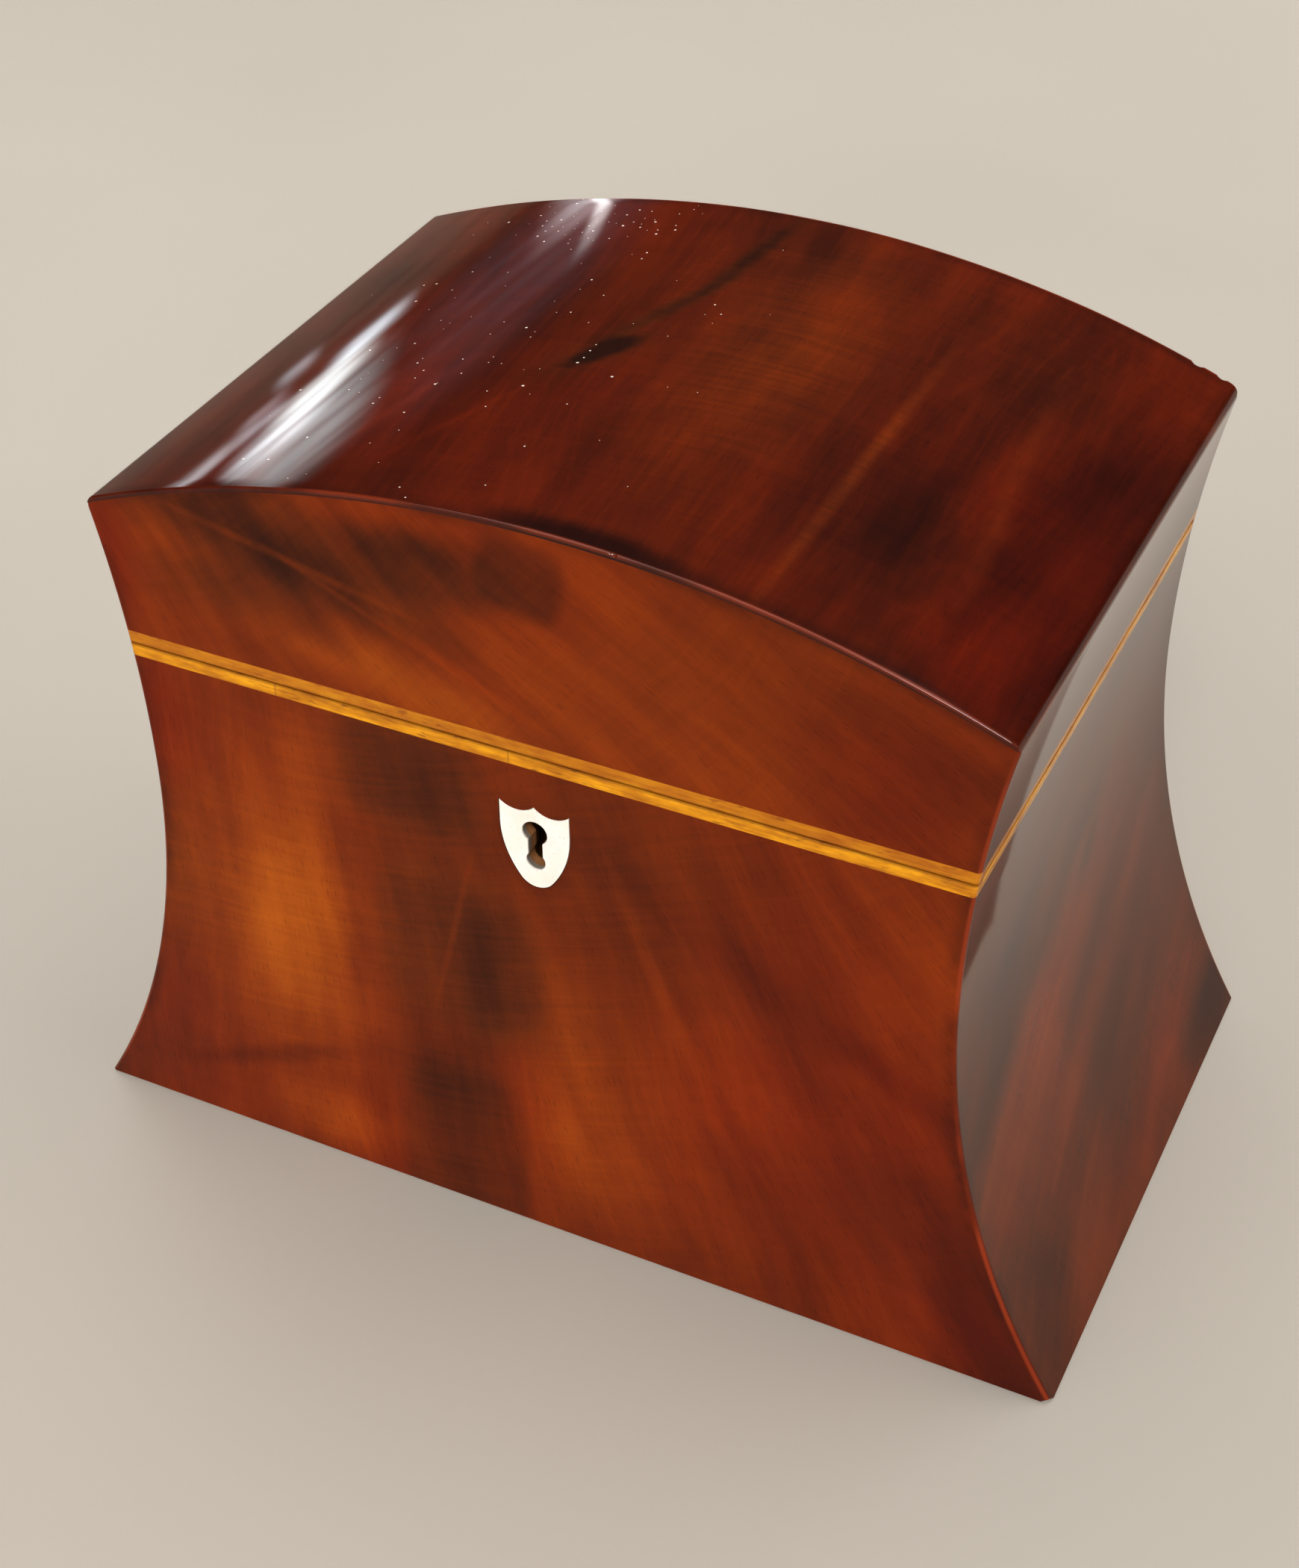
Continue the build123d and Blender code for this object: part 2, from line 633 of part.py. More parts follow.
# Link plate in the lid
link_plate = link_plate_block
for x in loop_places:
    loop_x = (x - loop_thickness / 2, x + loop_thickness / 2)
    loop_y = (lock_middle_y - loop_width / 2, lock_middle_y + loop_width / 2)
    loop = block(loop_x, loop_y, (loop_bottom, lid_bottom))
    loop = fillet(loop.edges().filter_by(Axis.X).group_by(Axis.Z)[0], loop_foot)
    hole_y = (lock_middle_y - loop_hole_width / 2, lock_middle_y + loop_hole_width / 2)
    hole_z = (loop_hole_bottom, loop_hole_bottom + loop_hole_height)
    link_plate = link_plate + (loop - block(loop_x, hole_y, hole_z))
for place in link_screws:
    link_plate = link_plate - place * screw_shape()
nodes["link_plate"] = link_plate
nodes["link_plate_screws"] = gather([place * slotted_screw() for place in link_screws])

# Lid boards
lid_walls = carcass & under_lid_top & band(*lid_heights)
lid_front_rail = lid_walls & block(full_width, board_front, lid_heights)
lid_front_rail = lid_front_rail - link_plate_block
for place in link_screws:
    lid_front_rail = lid_front_rail - place * screw_shape()
lid_back_rail = lid_walls & block(full_width, board_back, lid_heights)
for hole in lid_hinge_holes:
    lid_back_rail = lid_back_rail - hole
nodes["lid_front_rail"] = lid_front_rail
nodes["lid_back_rail"] = lid_back_rail
nodes["lid_right_end"] = lid_walls & block(right_of_inside, between_boards, lid_heights)
nodes["lid_left_end"] = lid_walls & block(left_of_inside, between_boards, lid_heights)
nodes["lid_top_board"] = (carcass & band(*lid_heights)) - under_lid_top
lining_top_inset = veneer_thickness + lid_top_thickness + lid_lining_glue_gap
lining_under_inset = lining_top_inset + lid_lining_thickness
under_lining_top = form(-board_thickness, lining_top_inset, (-beyond_width, beyond_width))
under_lid_lining = form(-board_thickness, lining_under_inset, (-beyond_width, beyond_width))
lid_inside = block(inside_x, between_boards, lid_heights)
nodes["lid_lining"] = (under_lining_top & lid_inside) - under_lid_lining

# Lid veneers
lid_veneer_heights = (lid_edging_top, beyond_top)
under_dome = outside_lid & under_dome_veneer & band(*lid_veneer_heights)
nodes["lid_front_veneer"] = under_dome & block(full_width, front_skin, lid_veneer_heights)
nodes["lid_back_veneer"] = under_dome & block(full_width, back_skin, lid_veneer_heights)
lid_end_skins = (under_dome - core) & block(full_width, between_skins, lid_veneer_heights)
nodes["lid_right_end_veneer"] = lid_end_skins & block(right_of_inside, between_skins, lid_heights)
nodes["lid_left_end_veneer"] = lid_end_skins & block(left_of_inside, between_skins, lid_heights)
nodes["lid_dome_veneer"] = outside_lid - under_dome_veneer

# Hinges
case_hinge_screws = []
lid_hinge_screws = []
for name, middle in hinge_sides.items():
    at_hinge = Pos(middle, 0, 0)
    nodes[f"{name}_hinge_case_leaf"] = at_hinge * case_leaf()
    nodes[f"{name}_hinge_lid_leaf"] = at_hinge * lid_leaf()
    pin_x = (middle - half_hinge, middle + half_hinge)
    nodes[f"{name}_hinge_pin"] = rod_along_x(pin_x, hinge_axis_y, hinge_axis_z, hinge_pin_radius)
    for x in hinge_screw_places:
        case_place = at_hinge * Pos(x, hinge_screw_y, case_top)
        lid_place = at_hinge * Pos(x, hinge_screw_y, lid_bottom) * Rot(180, 0, 0)
        case_hinge_screws.append(case_place * slotted_screw())
        lid_hinge_screws.append(lid_place * slotted_screw())
nodes["case_hinge_screws"] = gather(case_hinge_screws)
nodes["lid_hinge_screws"] = gather(lid_hinge_screws)

os.makedirs("parts", exist_ok=True)
for name, shape in nodes.items():
    export_step(shape, f"parts/{name}.step")
print(len(nodes), "nodes")
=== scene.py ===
# %% [markdown]
# # Finishing an antique tea caddy
#
# The caddy is a small locked box for tea, made of pine and faced with flame mahogany. Its ends are
# hollow, its lid is a shallow dome, and two thin strips of boxwood edge the joint between lid and
# case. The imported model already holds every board, hinge and lock part at its real size. This lesson
# gives each of them its finish, and cuts the outer veneers again as finer meshes, because a polished
# surface shows every facet.

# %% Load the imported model
import json
import math

import bmesh
import bpy
from mathutils import Matrix, Vector, noise

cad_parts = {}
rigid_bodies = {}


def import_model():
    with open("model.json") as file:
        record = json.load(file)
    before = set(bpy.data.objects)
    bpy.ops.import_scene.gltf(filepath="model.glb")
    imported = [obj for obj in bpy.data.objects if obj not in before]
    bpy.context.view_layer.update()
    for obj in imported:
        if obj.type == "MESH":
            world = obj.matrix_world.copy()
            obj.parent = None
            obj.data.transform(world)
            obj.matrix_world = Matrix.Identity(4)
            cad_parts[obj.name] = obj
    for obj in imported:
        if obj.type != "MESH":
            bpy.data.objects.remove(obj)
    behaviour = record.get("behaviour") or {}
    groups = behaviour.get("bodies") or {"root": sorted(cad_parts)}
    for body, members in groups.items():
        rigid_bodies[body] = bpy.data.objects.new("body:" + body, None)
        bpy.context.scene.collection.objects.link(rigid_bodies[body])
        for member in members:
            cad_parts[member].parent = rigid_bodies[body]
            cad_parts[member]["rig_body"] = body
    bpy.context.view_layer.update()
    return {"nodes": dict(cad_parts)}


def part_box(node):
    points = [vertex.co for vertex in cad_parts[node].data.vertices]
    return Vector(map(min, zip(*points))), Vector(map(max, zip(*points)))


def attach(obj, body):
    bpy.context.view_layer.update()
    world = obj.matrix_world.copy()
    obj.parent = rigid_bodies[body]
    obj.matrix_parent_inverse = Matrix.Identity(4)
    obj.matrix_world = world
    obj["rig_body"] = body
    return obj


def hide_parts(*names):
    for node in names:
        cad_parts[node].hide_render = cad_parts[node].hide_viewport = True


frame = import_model()
nodes = frame["nodes"]
slot_of = {name: node.material_slots[0].material.name for name, node in nodes.items()}

# %% [markdown]
# ## Read the box's sizes
#
# A cabinetmaker measures the box before cutting veneer for it. Most sizes come straight from the
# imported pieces. The height of the waist and the rounding of the arrises are not in any piece's outer
# corners, so they are written here as real sizes, in millimetres. Below them stand how finely curves
# are divided, the tiny distances at which two places count as the same, and the hair by which an
# outline stops short of its start.

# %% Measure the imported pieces
mm = 0.001
waist_height = 78.7 * mm
upper_flare = 5.9 * mm
lid_corner_height = 130.0 * mm
corner_radius = 2.2 * mm
arris_radius = 0.75 * mm
rim_radius = 0.45 * mm
arc_step = 0.9 * mm
fillet_step = math.radians(8)
touching = 0.01 * mm
on_surface = 0.05 * mm
closing_gap = 0.02 * mm
weld_reach = 0.03 * mm

front_low, front_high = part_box("front_veneer")
front_y = front_low.y
back_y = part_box("back_veneer")[1].y
veneer = front_high.y - front_low.y
foot_height = front_low.z
foot_half = front_high.x
waist_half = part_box("right_end_veneer")[0].x + veneer
case_line, case_rim = (corner.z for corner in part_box("case_front_edging"))
lid_rim, lid_line = (corner.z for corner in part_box("lid_front_edging"))
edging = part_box("case_front_edging")[1].y - front_y
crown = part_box("lid_dome_veneer")[1].z
print(f"front {2 * foot_half / mm:.1f} mm wide at the foot, {2 * waist_half / mm:.1f} mm at the waist")

# %% [markdown]
# ## The curves of the ends and the dome
#
# Each end is two arcs that meet at the waist, with their centres outside the box at the height of the
# waist. The dome is one wide arc. An arc is fixed by how far it moves sideways over a known height,
# so its radius is worked out from those two sizes, as a maker does who strikes the curve with a
# batten. Insets give the same curves again further inside the box, for the back of the veneer.


# %% Work out the arcs
def arc_radius(sideways, along):
    """The radius of an arc that drifts sideways over a length, starting parallel to it."""
    return (sideways**2 + along**2) / (2 * sideways)


lower_radius = arc_radius(foot_half - waist_half, waist_height - foot_height)
upper_radius = arc_radius(upper_flare, lid_corner_height - waist_height)
dome_radius = arc_radius(crown - lid_corner_height, waist_half + upper_flare)
dome_centre = crown - dome_radius


def side_x(height, inset=0.0):
    """Half the width of the box at a height, on the curve that lies inset inside the end."""
    radius = lower_radius if height < waist_height else upper_radius
    return waist_half + radius - math.sqrt((radius + inset) ** 2 - (height - waist_height) ** 2)


def end_meets_dome(end_inset, dome_inset):
    """Where the right end's upper curve crosses the dome's curve, each at its own inset."""
    end_radius = upper_radius + end_inset
    top_radius = dome_radius - dome_inset
    end_centre = Vector((waist_half + upper_radius, waist_height))
    top_centre = Vector((0.0, dome_centre))
    apart = end_centre - top_centre
    reach = (top_radius**2 - end_radius**2 + apart.length_squared) / (2 * apart.length)
    aside = math.sqrt(top_radius**2 - reach**2)
    direction = apart.normalized()
    return top_centre + direction * reach + Vector((-direction.y, direction.x)) * aside


def toward(start, goal, length):
    """The point at a length from start on the line to goal."""
    return start + (goal - start).normalized() * length


corner_hub = end_meets_dome(corner_radius, corner_radius)
corner_start = toward(corner_hub, Vector((waist_half + upper_radius, waist_height)), corner_radius)
corner_end = toward(Vector((0.0, dome_centre)), corner_hub, dome_radius)
print(f"arc radii {lower_radius / mm:.0f}, {upper_radius / mm:.0f} and {dome_radius / mm:.0f} mm")

# %% [markdown]
# ## Where the dome's veneer ends
#
# The dome's veneer is laid last and runs out over the rounded corner, so its seam with the end's
# veneer lies on the rounding, one veneer's thickness below the dome. That point is where the corner's
# small circle crosses the underside of the dome's veneer.

# %% Find the seam on the rounded corner
under_dome = dome_radius - veneer
hub_distance = math.hypot(corner_hub.x, corner_hub.y - dome_centre)
seam_reach = (under_dome**2 - corner_radius**2 + hub_distance**2) / (2 * hub_distance)
seam_aside = math.sqrt(under_dome**2 - seam_reach**2)
hub_direction = Vector((corner_hub.x, corner_hub.y - dome_centre)).normalized()
seam = Vector((0.0, dome_centre)) + hub_direction * seam_reach
seam += Vector((hub_direction.y, -hub_direction.x)) * seam_aside
veneer_back_corner = end_meets_dome(veneer, veneer)
print(f"dome seam {seam.x / mm:.2f} mm out and {seam.y / mm:.2f} mm up")

# %% [markdown]
# ## Drawing an outline and giving it thickness
#
# Every outer piece is a flat outline pushed along one direction, so two helpers make them all. The
# first draws the outline and fills it: a single vertex is extruded along straight stretches and spun
# about a centre along curved ones. The second extrudes the face from front to back. A list of points
# would work too, but a spin keeps each arc exact, and its number of steps can be changed in one
# place.


# %% Draw and extrude an outline
def along_end(side, start, stop, inset=0.0):
    """The stops on one end's curve between two heights, each with the centre of its arc."""
    heights = [stop]
    if min(start, stop) < waist_height < max(start, stop):
        heights = [waist_height, stop]
    stops = []
    for height in heights:
        radius = lower_radius if (start + height) / 2 < waist_height else upper_radius
        hub = (side * (waist_half + radius), waist_height)
        stops.append((side * side_x(height, inset), height, hub))
        start = height
    return stops


def draw_outline(start, stops, y):
    """A closed face at depth y. Each stop is (x, z, centre of its arc), with None for a straight line."""
    bm = bmesh.new()
    first = bmesh.ops.create_vert(bm, co=(start[0], y, start[1]))["vert"][0]
    pen = first
    for x, z, hub in stops:
        goal = Vector((x, y, z))
        if hub is None:
            pen = bmesh.ops.extrude_vert_indiv(bm, verts=[pen])["verts"][0]
        else:
            centre = Vector((hub[0], y, hub[1]))
            old, new = pen.co - centre, goal - centre
            turn = math.atan2(new.x, new.z) - math.atan2(old.x, old.z)
            turn = (turn + math.pi) % (2 * math.pi) - math.pi
            steps = max(math.ceil(abs(turn) * old.length / arc_step), math.ceil(abs(turn) / fillet_step))
            spun = bmesh.ops.spin(bm, geom=[pen], cent=centre, axis=(0, 1, 0), angle=turn, steps=steps)
            pen = [item for item in spun["geom_last"] if isinstance(item, bmesh.types.BMVert)][0]
        pen.co = goal
    bmesh.ops.contextual_create(bm, geom=[pen, first])
    bmesh.ops.contextual_create(bm, geom=bm.edges[:])
    return bm


def push_back(bm, depth):
    """Extrudes the drawn face along Y and turns all faces outwards."""
    made = bmesh.ops.extrude_face_region(bm, geom=bm.faces[:])
    moved = [item for item in made["geom"] if isinstance(item, bmesh.types.BMVert)]
    bmesh.ops.translate(bm, verts=moved, vec=(0, depth, 0))
    bmesh.ops.recalc_face_normals(bm, faces=bm.faces[:])
    return bm


# %% [markdown]
# ## Softening the arrises
#
# Two centuries of handling round the front and back arrises to rather less than a millimetre, and
# that rounding is what catches the thin line of light along the lid's front edge. The bevel is only
# given to edges on the outside of the box, so a helper says how deep a point lies inside the outline.
# Joints between veneers stay tight.


# %% Pick and bevel the outer edges
def depth_inside(point):
    """How far a point lies inside the outline, seen from the front."""
    x, z = abs(point.x), point.z
    radius = lower_radius if z < waist_height else upper_radius
    end_depth = math.hypot(waist_half + radius - x, z - waist_height) - radius
    dome_depth = dome_radius - math.hypot(x, z - dome_centre)
    if max(end_depth, dome_depth) < corner_radius:
        return corner_radius - math.hypot(x - corner_hub.x, z - corner_hub.y)
    return min(end_depth, dome_depth)


def middle_of(edge):
    """The middle of an edge."""
    return (edge.verts[0].co + edge.verts[1].co) / 2


def flat_at(edge, axis, place):
    """Whether both ends of an edge lie at a place on an axis."""
    return all(abs(vert.co[axis] - place) < touching for vert in edge.verts)


def bevel(bm, edges, radius, segments=4):
    """Rounds edges, with the settings that a bevel has in the editor."""
    bmesh.ops.bevel(
        bm,
        geom=edges,
        offset=radius,
        offset_type="OFFSET",
        segments=segments,
        profile=0.5,
        affect="EDGES",
        material=-1,
        clamp_overlap=True,
    )


def wear_arris(bm, y):
    """Rounds the outline's outer edges in the plane y."""
    worn = []
    for edge in bm.edges:
        if flat_at(edge, 1, y) and depth_inside(middle_of(edge)) < on_surface:
            worn.append(edge)
    bevel(bm, worn, arris_radius)


def wear_rim(bm, height):
    """Rounds the outer edge at a rim."""
    worn = []
    for edge in bm.edges:
        middle = middle_of(edge)
        outer_face = min(middle.y - front_y, back_y - middle.y, depth_inside(middle)) < 2 * on_surface
        along_y = flat_at(edge, 0, edge.verts[0].co.x)
        between_strips = not along_y and flat_at(edge, 1, middle.y) and abs(middle.y) < back_y - edging / 2
        if flat_at(edge, 2, height) and outer_face and not between_strips:
            worn.append(edge)
    bevel(bm, worn, rim_radius, segments=3)


# %% [markdown]
# ## From mesh to piece
#
# A finished piece stands for an imported one: it rides on the same body and hides the imported solid.
# Its finish is given later, piece by piece. Smooth shading runs over the rounded arrises and stops at
# sharp corners. The Weighted Normal modifier then keeps large flat faces flat right up to their
# rounded edges, which a mirror finish needs. A closed mesh has two faces at every edge, so the edges
# that have more or fewer are counted and should come to nought.

# %% Turn a mesh into a finished piece
smooth_angle = math.radians(35)


def place_object(name, data):
    """Puts a mesh, a lamp or a camera into the scene."""
    made = bpy.data.objects.new(name, data)
    bpy.context.scene.collection.objects.link(made)
    return made


def closed_mesh(bm, name):
    """The bmesh as a mesh, with all its faces turned outwards."""
    mesh = bpy.data.meshes.new(name)
    bmesh.ops.recalc_face_normals(bm, faces=bm.faces[:])
    bm.to_mesh(mesh)
    bm.free()
    return mesh


def finish_piece(node, bm):
    """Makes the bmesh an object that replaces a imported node."""
    print(node, "loose edges", sum(not edge.is_manifold for edge in bm.edges))
    mesh = closed_mesh(bm, f"{node}_finished")
    mesh.shade_smooth()
    mesh.set_sharp_from_angle(angle=smooth_angle)
    piece = place_object(mesh.name, mesh)
    weighted = piece.modifiers.new("Flat faces stay flat", "WEIGHTED_NORMAL")
    weighted.keep_sharp = True
    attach(piece, nodes[node]["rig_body"])
    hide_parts(node)
    return piece


finished = {}

# %% [markdown]
# ## Front and back veneers of the case
#
# The front and back are single flat leaves of veneer, cut to the waisted outline and 0.9 mm thick.
# Each outline runs up the right end, across under the boxwood, and down the left end.


# %% Cut the case's front and back veneers
def outline_between(low, high, y):
    """The caddy's outline between two heights, at depth y."""
    stops = along_end(1, low, high)
    stops.append((-side_x(high), high, None))
    stops += along_end(-1, high, low)
    return draw_outline((side_x(low), low), stops, y)


def case_outline(y):
    """The case's outline up to its boxwood, at depth y."""
    return outline_between(foot_height, case_line, y)


def cut_front_and_back(owner, outline):
    """Cuts the two leaves of an outline and wears their outer arrises."""
    for side, y, depth in (("front", front_y, veneer), ("back", back_y, -veneer)):
        leaf = push_back(outline(y), depth)
        wear_arris(leaf, y)
        finished[f"{owner}{side}_veneer"] = leaf


cut_front_and_back("", case_outline)
print("cut", ", ".join(finished))

# %% [markdown]
# ## Front and back veneers of the lid
#
# These leaves end under the dome's veneer, so their top edge is the dome's own arc, one veneer lower.
# Between the end's curve and that arc the outline follows the rounded corner up to the seam.


# %% Cut the lid's front and back veneers
def lid_outline(y):
    """The lid's outline under the dome's veneer, at depth y."""
    stops = along_end(1, lid_line, corner_start.y)
    stops.append((seam.x, seam.y, tuple(corner_hub)))
    stops.append((-seam.x, seam.y, (0.0, dome_centre)))
    stops.append((-corner_start.x, corner_start.y, (-corner_hub.x, corner_hub.y)))
    stops += along_end(-1, corner_start.y, lid_line)
    return draw_outline((side_x(lid_line), lid_line), stops, y)


cut_front_and_back("lid_", lid_outline)
print(len(finished), "flat leaves cut")

# %% [markdown]
# ## Veneers of the hollow ends
#
# The end veneers are bent over the blocks, so their section is a thin curved sliver. The outline goes
# up the outside and comes back down the inside, and the sliver is pushed from the front veneer to the
# back one.


# %% Cut the end veneers
def end_sliver(side, low, high, thickness, y):
    """The section of a veneer or strip on one end between two heights."""
    stops = along_end(side, low, high)
    stops.append((side * side_x(high, thickness), high, None))
    stops += along_end(side, high, low, thickness)
    return draw_outline((side * side_x(low), low), stops, y)


def lid_end_sliver(side, y):
    """The section of the lid's end veneer, whose top is cut off by the dome's veneer."""
    stops = along_end(side, lid_line, corner_start.y)
    stops.append((side * seam.x, seam.y, (side * corner_hub.x, corner_hub.y)))
    stops.append((side * veneer_back_corner.x, veneer_back_corner.y, (0.0, dome_centre)))
    stops += along_end(side, veneer_back_corner.y, lid_line, veneer)
    return draw_outline((side * side_x(lid_line), lid_line), stops, y)


between_faces = back_y - front_y - 2 * veneer
for name, side in (("left", -1), ("right", 1)):
    sliver = end_sliver(side, foot_height, case_line, veneer, front_y + veneer)
    finished[f"{name}_end_veneer"] = push_back(sliver, between_faces)
    sliver = lid_end_sliver(side, front_y + veneer)
    finished[f"lid_{name}_end_veneer"] = push_back(sliver, between_faces)
print(f"end leaves {between_faces / mm:.1f} mm long")

# %% [markdown]
# ## The dome's veneer
#
# One leaf covers the dome from the front arris to the back one. Hand-laid veneer over a hand-planed
# board is never a true cylinder, and the reflections on the real dome waver for that reason. A bump
# in the material could fake it, but only a real unevenness bends the reflection of a window, so the
# leaf is divided into a grid and its outer face sinks by a few hundredths of a millimetre, following
# a smooth noise.

# %% Cut the dome's veneer and make it slightly uneven
cuts_along = 40
wave_depth = 0.09 * mm
wave_lengths = (15 * mm, 60 * mm, 60 * mm)
seam_weld = 0.15 * mm
short_of_seam = 0.999


def dome_outline(y):
    """The section of the dome's veneer, from seam to seam and back underneath."""
    stops = [
        (corner_end.x, corner_end.y, tuple(corner_hub)),
        (-corner_end.x, corner_end.y, (0.0, dome_centre)),
        (-seam.x, seam.y, (-corner_hub.x, corner_hub.y)),
        (seam.x * short_of_seam, seam.y + closing_gap, (0.0, dome_centre)),
    ]
    bm = draw_outline((seam.x, seam.y), stops, y)
    bmesh.ops.remove_doubles(bm, verts=bm.verts[:], dist=seam_weld)
    return bm


def divide_along(bm, cuts):
    """Divides the long edges that run from front to back."""
    long_edges = []
    for edge in bm.edges:
        if abs(edge.verts[0].co.y - edge.verts[1].co.y) > (back_y - front_y) / 2:
            long_edges.append(edge)
    bmesh.ops.subdivide_edges(bm, edges=long_edges, cuts=cuts, use_grid_fill=True)


def sink_unevenly(bm, depth, lengths, into_box):
    """Sinks the outer face by a smooth noise that is never above the true surface."""
    for vert in bm.verts:
        if depth_inside(vert.co) < veneer / 2:
            place = Vector(vert.co[axis] / lengths[axis] for axis in range(3))
            share = 0.5 + 0.5 * noise.noise(place)
            vert.co += into_box(vert.co) * depth * share


dome = push_back(dome_outline(front_y), back_y - front_y)
wear_arris(dome, front_y)
wear_arris(dome, back_y)
divide_along(dome, cuts_along)


def into_dome(place):
    """The direction from a place on the dome to the dome's centre line."""
    return Vector((-place.x, 0, dome_centre - place.z)).normalized()


sink_unevenly(dome, wave_depth, wave_lengths, into_dome)
finished["lid_dome_veneer"] = dome
print(len(dome.faces), "faces on the dome")

# %% [markdown]
# ## The ends waver too
#
# The ends mirror the floor at a low angle, so any waver in them shows even more. They get the same
# treatment, fading out towards their joints with the front, the back and the strips, where a step
# would show.

# %% Make the ends slightly uneven
end_wave_depth = 0.07 * mm
end_wave_lengths = (40 * mm, 30 * mm, 22 * mm)
joint_fade = 6 * mm


def into_end(place):
    """The direction into the box from a place on an end, shortened near the veneer's joints."""
    radius = lower_radius if place.z < waist_height else upper_radius
    hub = Vector((math.copysign(waist_half + radius, place.x), place.y, waist_height))
    near_face = back_y - veneer - abs(place.y)
    near_strip = min(abs(place.z - case_line), abs(place.z - lid_rim))
    near_foot = place.z - foot_height
    fade = min(near_face, near_strip, near_foot) / joint_fade
    return (place - hub).normalized() * min(max(fade, 0.0), 1.0)


for name in ("left_end_veneer", "right_end_veneer"):
    divide_along(finished[name], cuts_along)
    sink_unevenly(finished[name], end_wave_depth, end_wave_lengths, into_end)
    print(len(finished[name].faces), "faces on the", name)

# %% [markdown]
# ## Boxwood edging
#
# Two square strips of boxwood, one on the case and one on the lid, meet at the joint. Their arrises
# are rounded where they face each other, and the small groove between them is the dark line that
# shows in the middle of the yellow band. The front and back strips run the full width, and the end
# strips fit between them.

# %% Make the boxwood strips
strip_rows = {"case": (case_line, case_rim, case_rim), "lid": (lid_rim, lid_line, lid_rim)}
for owner, (low, high, rim) in strip_rows.items():
    for name, y, depth in (("front", front_y, edging), ("back", back_y, -edging)):
        strip = push_back(outline_between(low, high, y), depth)
        wear_arris(strip, y)
        wear_rim(strip, rim)
        finished[f"{owner}_{name}_edging"] = strip
    for name, side in (("left", -1), ("right", 1)):
        section = end_sliver(side, low, high, edging, front_y + edging)
        strip = push_back(section, back_y - front_y - 2 * edging)
        wear_rim(strip, rim)
        finished[f"{owner}_{name}_edging"] = strip
    print(f"{owner} strips {(high - low) / mm:.1f} mm high and {edging / mm:.1f} mm deep")

# %% [markdown]
# ## A knocked corner
#
# The foot of the right front corner has lost its point, as the corners of such boxes do. A cut plane
# across the corner takes the tip off both veneers, and the cut is filled again so that the leaves
# stay closed.

# %% Knock off the foot's corner
tip = Vector((side_x(foot_height), front_y, foot_height))
knock_direction = Vector((1, -1, -1)).normalized()
knock_depth = 0.95 * mm
cut_reach = 0.001 * mm
for node in ("front_veneer", "right_end_veneer"):
    leaf = finished[node]
    cut = bmesh.ops.bisect_plane(
        leaf,
        geom=leaf.verts[:] + leaf.edges[:] + leaf.faces[:],
        dist=cut_reach,
        plane_co=tip - knock_direction * knock_depth,
        plane_no=knock_direction,
        clear_outer=True,
    )
    rim = [item for item in cut["geom_cut"] if isinstance(item, bmesh.types.BMEdge)]
    bmesh.ops.edgeloop_fill(leaf, edges=rim)
    print(node, "cut at", len(rim), "edges")

# %% Make the pieces
pieces = {}
for node, bm in finished.items():
    pieces[node] = finish_piece(node, bm)
print(len(pieces), "veneers and strips")

# %% [markdown]
# ## Cutting holes
#
# The shield is let into the front veneer, and the hinges' barrels need room in the back strips. The
# Boolean modifier cuts such holes cleanly. It is applied at once, so that the finished mesh is the
# cut one.


# %% A helper that cuts one mesh out of another
def cut_hole(piece, cutter_bm):
    """Takes the cutter's shape out of a piece."""
    cutter = place_object("cutter", closed_mesh(cutter_bm, "cutter"))
    boolean = piece.modifiers.new("Hole", "BOOLEAN")
    boolean.operation = "DIFFERENCE"
    boolean.solver = "EXACT"
    boolean.object = cutter
    piece.modifiers.move(len(piece.modifiers) - 1, 0)
    with bpy.context.temp_override(object=piece):
        bpy.ops.object.modifier_apply(modifier="Hole")
    piece.data.set_sharp_from_angle(angle=smooth_angle)
    bpy.data.objects.remove(cutter)


# %% [markdown]
# ## The bone shield
#
# The keyhole is guarded by a small shield of bone, let in flush. Its top edge has two scoops, its
# sides draw in along wide arcs, and a small arc joins them at the foot. The same outline, a hair
# larger, cuts its seat in the veneer, which leaves the thin dark line that shows round real inlay.

# %% Draw the shield and its keyhole
shield_low, shield_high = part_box("shield_escutcheon")
shield_middle = (shield_low.x + shield_high.x) / 2
shield_half = (shield_high.x - shield_low.x) / 2
shield_side_radius = 17.4 * mm
shield_foot_radius = 3.4 * mm
shield_scoop = 1.3 * mm
keyhole_height = shield_high.z - 5.0 * mm
keyhole_top_radius = 2.2 * mm
keyhole_foot_radius = 1.7 * mm
keyhole_neck_half = 1.3 * mm
keyhole_drop = 5.6 * mm
inlay_gap = 0.12 * mm


def welded_plate(start, stops, y, depth):
    """A plate from an outline that stops a hair short of its start; the weld closes it."""
    bm = draw_outline(start, stops, y)
    bmesh.ops.remove_doubles(bm, verts=bm.verts[:], dist=weld_reach)
    return push_back(bm, depth)


